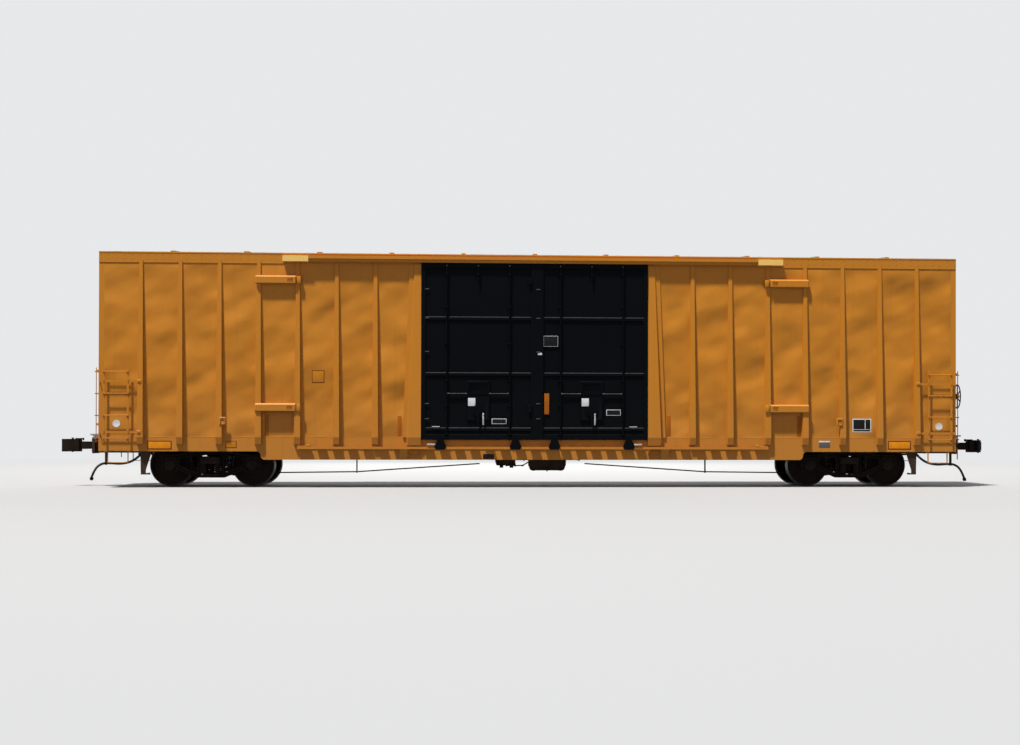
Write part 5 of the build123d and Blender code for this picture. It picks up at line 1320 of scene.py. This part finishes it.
@dataclass
class DoorStops(Group):
    """The stops that end each door's run: a folded bar across two posts, with a latch."""

    height: float = 0.174
    fold: float = 0.032
    hem: float = 0.014
    lug_x: Pair = (5.070, 5.152)
    bar_x: Pair = (5.185, 6.046)
    shelf_x: Pair = (5.200, 5.916)
    pocket: tuple[float, float, float, float] = (5.242, 5.356, 0.040, 0.118)
    # Height of the middle, outer face and back of each stop.
    rows: tuple[Point, ...] = ((1.712, -1.6220, -1.5812), (4.475, -1.5859, -1.5157))

    def build(self) -> None:
        """Model one quarter's two stops and mirror them to the others."""
        parts: list[Piece] = []
        for centre, out, back in self.rows:
            low = centre - self.height / 2
            parts += [self._bar(low, out, back), *self._latch(low, out, back)]
        self.add("door_stop_bars", parts, Finish.BODY, FOUR_CORNERS, stands_for=["door_stops"])

    def _bar(self, low: float, out: float, back: float) -> Piece:
        """Fold one bar, round its far end and press the latch's pocket into its face.

        Args:
            low: Its lower edge.
            out: Its outer face.
            back: Its back.

        Returns:
            The bar.
        """
        near, far = self.bar_x
        high, hair = low + self.height, 0.001
        bar = block((near, out, low), (far, back, high))
        for width, wanted in (
                (self.fold, lambda p: p.z > high - hair and p.y < out + hair),
                (self.hem, lambda p: p.z < low + hair and p.y < out + hair),
                (self.hem, lambda p: p.x > far - hair and p.y < back - hair)):
            shape(bar, lambda: bpy.ops.mesh.bevel(offset=width, segments=1),
                  lambda edge: wanted(middle(edge)), Pick.EDGES)
        left, right, sill, head = self.pocket
        for place, axis in (((left, 0, 0), (1, 0, 0)), ((right, 0, 0), (1, 0, 0)),
                            ((0, 0, low + sill), (0, 0, 1)), ((0, 0, low + head), (0, 0, 1))):
            shape(bar, lambda: bpy.ops.mesh.bisect(plane_co=place, plane_no=axis))

        def in_pocket(face: Item) -> bool:
            """Whether a face lies within the pocket's outline."""
            p = middle(face)
            return left < p.x < right and low + sill < p.z < low + head and p.y < out + hair
        return shape(bar, lambda: bpy.ops.mesh.inset(thickness=0.004, depth=-0.024), in_pocket)

    def _latch(self, low: float, out: float, back: float) -> list[Piece]:
        """The end lug, the pin beside it, the bars in the pocket and the shelf behind the stop.

        Args:
            low: Lower edge of the stop.
            out: Its outer face.
            back: Its back.

        Returns:
            The parts.
        """
        (start, lug), (near, _), (shelf, shelf_end) = self.lug_x, self.bar_x, self.shelf_x
        left, right, sill, head = self.pocket
        high, gap, pin_y = low + self.height, (lug + near) / 2, back - 0.024
        slats = [low + sill + (head - sill) * share for share in (0.3, 0.7)]
        return [
            block((start, out + 0.003, low), (lug, back, high - 0.016), 0.008),
            block((lug - 0.004, back - 0.012, low + 0.004), (near + 0.004, back, high - 0.020)),
            rod((gap, pin_y, low + 0.016), (gap, pin_y, high + 0.010), 0.010, 12, 0.002),
            block((shelf, back, high - 0.012), (shelf_end, SHEET_Y - 0.0005, high), 0.003),
            *(block((left + 0.004, out + 0.004, z - 0.007),
                    (right - 0.004, out + 0.020, z + 0.007), 0.003) for z in slats)]


@dataclass
class SideFittings(Group):
    """Small things along the sides: brackets, track ends, weld beads, rivets and bolts."""

    chord: float = -1.488
    posts: Row = (3.468, 4.304, 5.140, 5.976, 6.812, 7.648, 8.484)
    bracket: float = -1.6085
    bracket_x: Row = (6.660, 6.730, 6.800)
    bracket_z: Pair = (1.330, 1.500)
    bracket_bolts: Pair = (1.343, 1.487)
    box: float = -1.555
    box_x: Pair = (2.490, 2.768)
    box_z: Pair = (0.655, 0.7985)
    box_bolts: tuple[Pair, Row] = ((2.498, 2.760), (0.675, 0.727, 0.780))
    # The block that ends the door's run on the lower track, and its heel.
    track_end: tuple[tuple[Point, Point, float], ...] = (
        ((4.852, -1.6000, 0.8625), (4.932, -1.540, 0.912), 0.006),
        ((4.932, -1.595, 0.8625), (5.130, -1.575, 0.882), 0.004))
    # First and last rivet of each row, their number, the face and the heights.
    rivet_rows: tuple[tuple[float, float, int, float, Span], ...] = (
        (5.56, 9.33, 24, chord, (4.905, 5.005)), (6.30, 9.30, 16, SILL_Y, 0.780),
        (0.20, 5.80, 29, SILL_Y, 0.600))

    def build(self) -> None:
        """Model one quarter of the car's sides and mirror it to the others."""
        (left, centre, right), (low, high) = self.bracket_x, self.bracket_z
        bracket = block((left, self.bracket, low), (right, self.bracket + 0.032, high), 0.006)
        parts = [
            press(bracket, Side.OUT, (0.026, 0.0), (0.004, -0.012)),
            *bolts(0.008, 0.007, grid(centre, self.bracket, self.bracket_bolts)),
            *(block(*row) for row in self.track_end), *self._beads(),
            *rivets(0.009, 0.006, [
                *(place for first, last, count, y, z in self.rivet_rows
                  for place in grid(steps(first, last, count), y, z)),
                shift(6.20, SILL_Y, 0.7795)])]
        self.add("side_fittings", parts, Finish.BODY, FOUR_CORNERS)
        (left, right), (low, high), (across, heights) = self.box_x, self.box_z, self.box_bolts
        box = block((left, self.box, low), (right, SILL_Y - 0.0005, high), 0.006)
        parts = [press(box, Side.OUT, (0.016, 0.0), (0.004, -0.045)),
                 *bolts(0.008, 0.006, grid(across, self.box, heights))]
        self.add("track_boxes", parts, Finish.BODY, FOUR_CORNERS)

    def _beads(self) -> list[Piece]:
        """Weld beads where the sheets meet the sill and the chord.

        Returns:
            The beads between neighbouring posts.
        """
        beads = []
        ends = [2.905, *self.posts, BODY_HALF]
        for near, far in zip(ends, ends[1:]):
            for z, y, gap in ((1.0655, SILL_Y + 0.002, 0.088), (4.8315, self.chord + 0.002, 0.046)):
                start = near + (gap if near in self.posts else 0.0)
                stop = far - (gap if far in self.posts else 0.0)
                beads.append(rod((start, y, z), (stop, y, z), 0.005, 6))
        return beads


@dataclass
class GripFittings(Group):
    """The bolts of the ladders' rungs and arms, and the lugs where the arms meet the posts."""

    rungs: Row = (1.037, 1.528, 2.000, 2.470)
    # Height of each arm and the face of the post there.
    arms: Pairs = ((1.170, -1.592), (2.264, -1.566))
    side_stiles: Pair = (8.740, 9.250)
    end_stiles: Pair = (-1.032, -1.396)
    side_face: float = -1.5855
    stile_face: float = -1.568
    end_face: float = 9.4615
    post_x: float = 8.515

    def build(self) -> None:
        """Model one corner's bolts and lugs and mirror them to the others."""
        parts = [
            *bolts(0.013, 0.009, [
                *grid(self.side_stiles, self.side_face, self.rungs),
                *grid(self.end_face, self.end_stiles, self.rungs, TO_END)]),
            *bolts(0.011, 0.008, grid(
                self.side_stiles, self.stile_face,
                [z + dz for z, _ in self.arms for dz in (-0.018, 0.018)]))]
        for z, face in self.arms:
            lug = block((self.post_x - 0.060, face - 0.010, z - 0.034),
                        (self.post_x + 0.034, face + 0.008, z + 0.034), 0.004)
            parts += [press(lug, Side.OUT, (0.008, 0.002)),
                      *bolts(0.016, 0.012, [shift(self.post_x - 0.012, face - 0.0115, z)])]
        self.add("ladder_fittings", parts, Finish.BODY, FOUR_CORNERS)


@dataclass
class EndFittings(Group):
    """What the car's two ends carry: rivets, grab irons, board, striker bolts and brake chain."""

    ridge: float = 9.3635
    board_y: Pair = (0.300, 0.620)
    board_z: Pair = (2.320, 2.560)
    striker: float = 9.760
    striker_bolts: tuple[tuple[Pair, Row], ...] = (
        ((-0.222, 0.222), (0.760, 0.876, 0.992)), ((-0.110, 0.110), (0.724, 1.028)))
    grab_z: float = 0.985
    cock: Pair = (8.757, -0.330)
    chain: Point = (9.440, -0.770, 1.800)
    links: int = 24
    link_pitch: float = 0.0355
    brake: Point = (9.5148, -0.700, 2.010)
    nut: float = 9.655
    bars: float = 9.377

    def build(self) -> None:
        """Model one end, turn a copy to the other, and add the brake's parts at the +X end."""
        (left, right), (low, high), (x, y) = self.board_y, self.board_z, self.cock
        board = block((self.ridge, left, low), (self.ridge + 0.016, right, high), 0.003)
        parts = [
            *rivets(0.009, 0.006, [
                *grid(BODY_HALF, (-1.435, 1.435), steps(1.16, 4.98, 27), TO_END),
                *grid(BODY_HALF, [across for across in steps(-1.33, 1.33, 21)
                                  if abs(across) > 0.30], 0.800, TO_END)]),
            *self._grab(-1.16), *self._grab(1.16),
            press(board, Side.END, (0.018, 0.0), (0.003, -0.005)),
            # Stem and handle of the angle cock.
            rod((x, y, 0.725), (x, y, 0.742), 0.013, 10),
            block((x - 0.011, y - 0.120, 0.736), (x + 0.011, y + 0.016, 0.744), 0.002, 1)]
        self.add("end_fittings", parts, Finish.BODY, BOTH_ENDS)
        self.add("striker_bolts", bolts(0.017, 0.014, [
            place for across, heights in self.striker_bolts
            for place in grid(self.striker, across, heights, TO_END)]), Finish.FRAME, BOTH_ENDS)
        self.add("hand_brake_chain", self._chain(), Finish.CAST, slot="underframe_paint",
                 angle=60.0)
        self.add("hand_brake_fittings", self._brake_case(), Finish.BODY)

    def _grab(self, y: float) -> list[Piece]:
        """A grab iron low on the end sill: a bar on two bolted legs.

        Args:
            y: Its middle.

        Returns:
            The bar, the legs and their feet.
        """
        x, z = BODY_HALF + 0.075, self.grab_z
        made = [rod((x, y - 0.215, z), (x, y + 0.215, z), 0.009, 10)]
        for leg in (y - 0.210, y + 0.210):
            made += [rod((BODY_HALF, leg, z), (x + 0.004, leg, z), 0.009, 10),
                     block((BODY_HALF + 0.0005, leg - 0.020, z - 0.030),
                           (BODY_HALF + 0.010, leg + 0.020, z + 0.030), 0.003, 1)]
        return made

    def _chain(self) -> list[Piece]:
        """The chain from the hand brake's case down to its eye bolt above the end sill.

        Returns:
            The links, the eye and its shelf.
        """
        x, y, top = self.chain
        clear()
        bpy.ops.mesh.primitive_torus_add(major_segments=12, minor_segments=6, major_radius=0.014,
                                         minor_radius=0.0042, rotation=(math.pi / 2, 0, 0))
        link = shape(settle(bpy.context.object),
                     lambda: bpy.ops.transform.translate(value=(0.0, 0.0, 0.016)),
                     lambda face: middle(face).z > 0.0)
        low = top - self.link_pitch * self.links
        return [
            *copies(link, [shift(x, y, top - self.link_pitch * k) @ turn("Z", 90 * (k % 2))
                           for k in range(self.links)]),
            rod((x, y, low + 0.006), (x, y, low - 0.030), 0.011, 10, 0.002),
            block((BODY_HALF, y - 0.035, low - 0.040), (x + 0.030, y + 0.035, low - 0.028), 0.003)]

    def _brake_case(self) -> list[Piece]:
        """Cover bolts, release lever and wheel nut of the hand brake, and the bolts of its bars.

        Returns:
            The parts.
        """
        face, y, z = self.brake
        return [
            *bolts(0.010, 0.009, [
                shift(face, y + dy, z + dz) @ TO_END for dy, dz in
                ((-0.100, 0.155), (0.100, 0.155), (-0.100, -0.045), (0.100, -0.045),
                 (0.0, -0.185))]),
            block((face, y + 0.095, z - 0.100), (face + 0.016, y + 0.200, z - 0.078), 0.004),
            *bolts(0.026, 0.020, [shift(self.nut, y, z) @ TO_END]),
            *bolts(0.013, 0.010, grid(self.bars, (y - 0.090, y + 0.090),
                                      (z - 0.370, z + 0.370), TO_END))]


@dataclass
class CouplerFittings(Group):
    """The knuckle pin's head, the lock lifter's cover and lug of one coupler."""

    tag: str
    place: Matrix
    top: float = 1.016
    pin: Point = (10.270, -0.150, 1.030)
    cover_x: Pair = (10.030, 10.170)
    cover_y: Pair = (-0.075, 0.065)
    cover_bolts: tuple[Pair, Pair] = ((10.043, 10.157), (-0.062, 0.052))
    lug_x: Pair = (9.985, 10.020)

    def build(self) -> None:
        """Model the fittings at the +X end and turn them to the coupler's own end."""
        x, y, z = self.pin
        head = rod(self.pin, (x, y, z + 0.015), 0.030, 20, 0.004)
        (x0, x1), (y0, y1), (near, far) = self.cover_x, self.cover_y, self.lug_x
        cover = block((x0, y0, self.top - 0.002), (x1, y1, self.top + 0.012), 0.005)
        parts = [
            press(head, Side.TOP, (0.008, -0.003)),
            press(cover, Side.TOP, (0.020, 0.0), (0.006, -0.005)),
            *bolts(0.010, 0.007, grid(*self.cover_bolts, self.top + 0.012, TO_TOP)),
            block((near, -0.012, self.top - 0.030), (far, 0.012, self.top + 0.024), 0.006)]
        self.add(f"coupler_fittings_{self.tag}", parts, Finish.CAST, [self.place],
                 f"coupler_{self.tag}")


@dataclass
class FrameRivets(Group):
    """Rivets under the centre sill and the crossbearers, and the lever brackets' plates."""

    sill_low: float = 0.712
    sill_y: float = 0.215
    cross_x: Row = (0.6, 1.8, 3.0, 4.2)
    cross_low: float = 0.7636
    cross_slope: float = 0.104
    plate_x: float = 9.384
    plate_y: Pair = (-1.250, -0.560)

    def build(self) -> None:
        """Model the rivets of one quarter and mirror them; add the plates at both ends."""
        self.add("frame_rivets", rivets(0.012, 0.008, [
            *grid(steps(0.15, 9.0, 31), -self.sill_y, self.sill_low, TO_GROUND),
            *(shift(x + dx, -y, self.cross_low + self.cross_slope * (y - 0.4)) @ TO_GROUND
              for x in self.cross_x for dx in (-0.050, 0.050)
              for y in (0.40, 0.65, 0.90, 1.15, 1.40))]), Finish.FRAME, FOUR_CORNERS)
        plates = [block((self.plate_x - 0.0085, y - 0.034, 0.770),
                        (self.plate_x, y + 0.034, 0.890), 0.003) for y in self.plate_y]
        self.add("lever_plates", [*plates, *bolts(0.011, 0.008, grid(
            self.plate_x, self.plate_y, (0.784, 0.876), TO_END))], Finish.BODY, BOTH_ENDS)


@dataclass
class RoofPanels(Group):
    """The raised panels between the roof's seam caps, and the rivets of the caps."""

    panels: int = 12
    ridge: float = 5.158
    eave_y: float = 1.494
    rise: float = 0.100
    panel_y: Pair = (0.090, 1.390)
    seam_half: float = 0.110

    def build(self) -> None:
        """Press one panel with its crossed ribs and rivet one cap, and copy them."""
        pitch = 2 * BODY_HALF / self.panels
        tilt = math.degrees(math.atan2(self.rise, self.eave_y))
        slopes = [mirror(y=side) @ shift(z=self.ridge) @ turn("X", -tilt) for side in (1.0, -1.0)]
        middles = [-BODY_HALF + (k + 0.5) * pitch for k in range(self.panels)]
        seams = [-BODY_HALF + k * pitch for k in range(1, self.panels)]
        self.add("roof_panels", self._panel(pitch / 2 - self.seam_half), Finish.ZINC,
                 [slope @ shift(x) for slope in slopes for x in middles])
        self.add("roof_rivets", rivets(0.008, 0.004, [
            slope @ shift(x + dx, y, 0.0258) @ TO_TOP for slope in slopes for x in seams
            for dx in (-0.028, 0.028) for y in steps(0.10, 1.40, 9)]), Finish.ZINC)

    def _panel(self, half: float) -> list[Piece]:
        """Press one half-width panel, lying flat from the ridge towards +Y.

        Args:
            half: Half its length along the car.

        Returns:
            The panel and its two crossed ribs.
        """
        near, far = self.panel_y
        pan = block((-half, near, -0.004), (half, far, 0.002))
        press(pan, Side.TOP, (0.050, 0.008), (0.012, 0.0))
        bevelled(pan, 0.004, angle=5.0)
        reach = math.hypot(2 * half, far - near) * 0.78 / 2
        angle = math.degrees(math.atan2(far - near, 2 * half))
        rib = narrow(block((-reach, -0.030, 0.004), (reach, 0.030, 0.018)), Side.TOP,
                     (0.97, 0.35, 1.0))
        return [pan, *copies(rib, [shift(0, (near + far) / 2) @ turn("Z", side * angle)
                                   for side in (1.0, -1.0)])]


@dataclass
class Underside(Group):
    """The air pipes and the levers between the brake's vessels and rods."""

    pipe: float = 0.0135
    elbow: float = 0.021
    runs: tuple[tuple[Point, ...], ...] = (
        # valve to tank, valve to cylinder, pipe to valve, retainer pipe to the end
        ((-0.600, -0.700, 0.480), (-0.600, -0.700, 0.440), (-0.240, -0.700, 0.440),
         (-0.110, -0.780, 0.520)),
        ((-0.600, -0.590, 0.560), (-0.600, 0.300, 0.560), (-0.600, 0.415, 0.560)),
        ((-0.600, -0.330, 0.690), (-0.600, -0.330, 0.620), (-0.600, -0.600, 0.620)),
        ((-0.700, -0.780, 0.650), (-1.100, -0.780, 0.650), (-5.700, -0.780, 0.690)),
    )
    drain: tuple[Point, Point] = ((0.300, -0.780, 0.334), (0.300, -0.780, 0.308))
    strap_bolts: tuple[Pair, float, Pair] = ((0.0, 0.600), -0.9755, (0.500, 0.545))
    cylinder: Point = (-0.370, 0.560, 0.560)
    lever_x: Pair = (-0.190, 1.060)
    lever_z: float = 0.560
    slack_y: float = 0.190

    def build(self) -> None:
        """Bend the pipes with their elbows and hang the levers."""
        parts = []
        for run in self.runs:
            parts += [rod(start, end, self.pipe, 10) for start, end in zip(run, run[1:])]
            parts += [block(tuple(c - self.elbow for c in corner),
                            tuple(c + self.elbow for c in corner), 0.009, 3)
                      for corner in run[1:-1]]
        self.add("air_lines", [*parts, *self._clamps(), *self._levers()], Finish.FRAME)

    def _clamps(self) -> list[Piece]:
        """The drain and strap bolts of the tank and the flange bolts of the cylinder.

        Returns:
            The parts.
        """
        return [
            rod(*self.drain, 0.016, 6, 0.002),
            *bolts(0.012, 0.010, grid(*self.strap_bolts)),
            *bolts(0.013, 0.012, [
                shift(*self.cylinder) @ turn("X", 45 * k) @ shift(0, 0, 0.157) @ TO_END
                for k in range(8)])]

    def _levers(self) -> list[Piece]:
        """The two flat brake levers with their pins and the rod that joins them.

        Returns:
            The levers.
        """
        y, z = self.slack_y, self.lever_z
        parts = []
        for x in self.lever_x:
            lever = block((x - 0.022, -0.190, z - 0.007), (x + 0.022, 0.600, z + 0.007), 0.004)
            for side in (Side.OUT, Side.BACK):
                narrow(lever, side, (0.6, 1.0, 1.0))
            pin = rod((0, 0, z - 0.025), (0, 0, z + 0.025), 0.013, 12, 0.002)
            parts += [lever, *copies(pin, grid(x, (-0.160, y, 0.560), 0.0))]
        near, far = self.lever_x
        return [*parts, rod((near, y, z), (far, y, z), 0.016, 12),
                rod((0.180, y, z), (0.620, y, z), 0.040, 20, 0.006)]


@dataclass(frozen=True)
class Lamp:
    """A lamp that faces a point."""

    name: str
    kind: str
    power: float
    place: Point
    aim: Point
    settings: tuple[tuple[str, object], ...]

    def hang(self) -> None:
        """Hang the lamp."""
        data = bpy.data.lights.new(f"studio_{self.name}", self.kind)
        for key, value in self.settings:
            setattr(data, key, value)
        data.energy = self.power
        lamp = bpy.data.objects.new(data.name, data)
        lamp.location = self.place
        lamp.rotation_euler = (Vector(self.aim) - lamp.location).to_track_quat("-Z", "Y").to_euler()
        bpy.context.scene.collection.objects.link(lamp)


@dataclass
class Studio:
    """A plain pale floor, soft lamps and the camera of the photograph."""

    floor_size: float = 400.0
    floor_colour: Colour = (0.336, 0.331, 0.326)
    floor_bounce: Colour = (0.145, 0.144, 0.141)
    backdrop: Colour = (0.80, 0.81, 0.82)
    fade_from: float = 14.0
    fade_over: float = 34.0
    eye: Point = (-1.5064, -39.8935, 1.2027)
    yaw: float = 0.0738
    pitch: float = 0.0093
    roll: float = 0.0018
    focal_pixels: float = 1756.8381
    centre: Pair = (595.6806, 415.0483)
    frame: Pair = (1020.0, 745.0)
    sensor: float = 36.0
    lamps: tuple[Lamp, ...] = (
        Lamp("front", "AREA", 350.0, (-8.0, -26.0, 14.0), (0.0, 0.0, 2.4),
             (("shape", "SQUARE"), ("size", 16.0))),
        Lamp("fill", "AREA", 275.0, (22.0, -24.0, 10.0), (2.0, 0.0, 2.0),
             (("shape", "SQUARE"), ("size", 18.0))),
        Lamp("back", "AREA", 2700.0, (0.0, 26.0, 12.0), (0.0, 0.0, 2.0),
             (("shape", "SQUARE"), ("size", 18.0))),
        # Its even light falls the same way along the whole car.
        Lamp("key", "SUN", 6.5, (-0.95, -1.0, 3.5), ORIGIN, (("angle", math.radians(3.5)),)),
    )
    room: Colour = (0.93, 0.96, 1.0)
    room_light: float = 0.185

    def build(self) -> None:
        """Set the floor, the lamps, the world and the camera."""
        clear()
        bpy.ops.mesh.primitive_plane_add(size=self.floor_size, location=(0, 0, 0))
        floor = bpy.context.object
        floor.name = "studio_floor"
        floor.data.materials.append(self._floor_finish())
        for lamp in self.lamps:
            lamp.hang()
        self._world()
        self._camera()
        log.info("studio")

    def _floor_finish(self) -> bpy.types.Material:
        """Make the floor's matt grey, which the camera sees fade into the backdrop far away.

        It throws less light up at the car than it shows, so that the side's shadows stay.

        Returns:
            The floor's material.
        """
        g = Graph(bpy.data.materials.new("studio_floor_grey"))
        x, y, _ = g.axes()
        away = (x ** 2.0 + y ** 2.0) ** 0.5
        far = ((away - self.fade_from) / self.fade_over).clamped()
        matt = g.add("ShaderNodeBsdfPrincipled", {}, {
            "Base Color": g.blend(g.looked_at(), self.floor_bounce, self.floor_colour),
            "Roughness": 0.9})
        glow = g.add("ShaderNodeEmission", {}, {"Color": (*self.backdrop, 1.0)})
        mixed = g.add("ShaderNodeMixShader", {}, {0: far * g.looked_at(), 1: matt, 2: glow})
        g.add("ShaderNodeOutputMaterial", {}, {"Surface": mixed})
        return g.owner

    def _world(self) -> None:
        """Give the room its soft light, and the camera a pale background."""
        g = Graph(bpy.data.worlds.new("studio_room"))
        room = g.add("ShaderNodeBackground", {}, {
            "Color": (*self.room, 1.0), "Strength": self.room_light})
        seen = g.add("ShaderNodeBackground", {}, {"Color": (*self.backdrop, 1.0)})
        mixed = g.add("ShaderNodeMixShader", {}, {0: g.looked_at(), 1: room, 2: seen})
        g.add("ShaderNodeOutputWorld", {}, {"Surface": mixed})
        bpy.context.scene.world = g.owner

    def _camera(self) -> None:
        """Stand the camera where the photograph was taken from."""
        width, height = self.frame
        data = bpy.data.cameras.new("photo_camera")
        data.sensor_width = self.sensor
        data.lens = self.focal_pixels / width * self.sensor
        data.shift_x = (width / 2 - self.centre[0]) / width
        data.shift_y = (self.centre[1] - height / 2) / width
        data.clip_end = 1000.0
        camera = bpy.data.objects.new(data.name, data)
        camera.matrix_world = (
            shift(z=RAIL) @ Matrix.Translation(self.eye) @ Matrix.Rotation(-self.yaw, 4, "Z")
            @ Matrix.Rotation(math.pi / 2 + self.pitch, 4, "X")
            @ Matrix.Rotation(self.roll, 4, "Z"))
        bpy.context.scene.collection.objects.link(camera)
        bpy.context.scene.camera = camera


def main() -> None:
    """Build the car's looks in order."""
    logging.basicConfig(level=logging.INFO, format="%(name)s: %(message)s")
    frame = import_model()
    bpy.context.scene.view_settings.view_transform = "Standard"
    Studio().build()
    shop = {finish: finish.value[0].build() for finish in Finish}
    dress(frame["nodes"], shop)
    for tag, end in (("a", -1), ("b", 1)):
        AirHose(shop, tag, end).build()
    for tag, end in (("a", -1), ("b", 1)):
        CoilSprings(shop, tag, end * TRUCK_X).build()
        TruckFittings(shop, tag, end * TRUCK_X).build()
    for number, x in enumerate(AXLE_X, start=1):
        AxleCaps(shop, number, x).build()
    for name, place, lever_x in (
            ("right_b", HERE, 1.311), ("right_a", mirror(x=-1.0), 1.128),
            ("left_a", HALF_TURN, 1.311), ("left_b", HALF_TURN @ mirror(x=-1.0), 1.128)):
        DoorFittings(shop, name, place, lever_x).build()
    for tag, place in (("a", HALF_TURN), ("b", HERE)):
        CouplerFittings(shop, tag, place).build()
    for group in (MeetingLine, Placards, DoorStops, SideFittings, GripFittings, EndFittings,
                  RoofPanels, FrameRivets, Underside):
        group(shop).build()


if __name__ == "__main__":
    main()
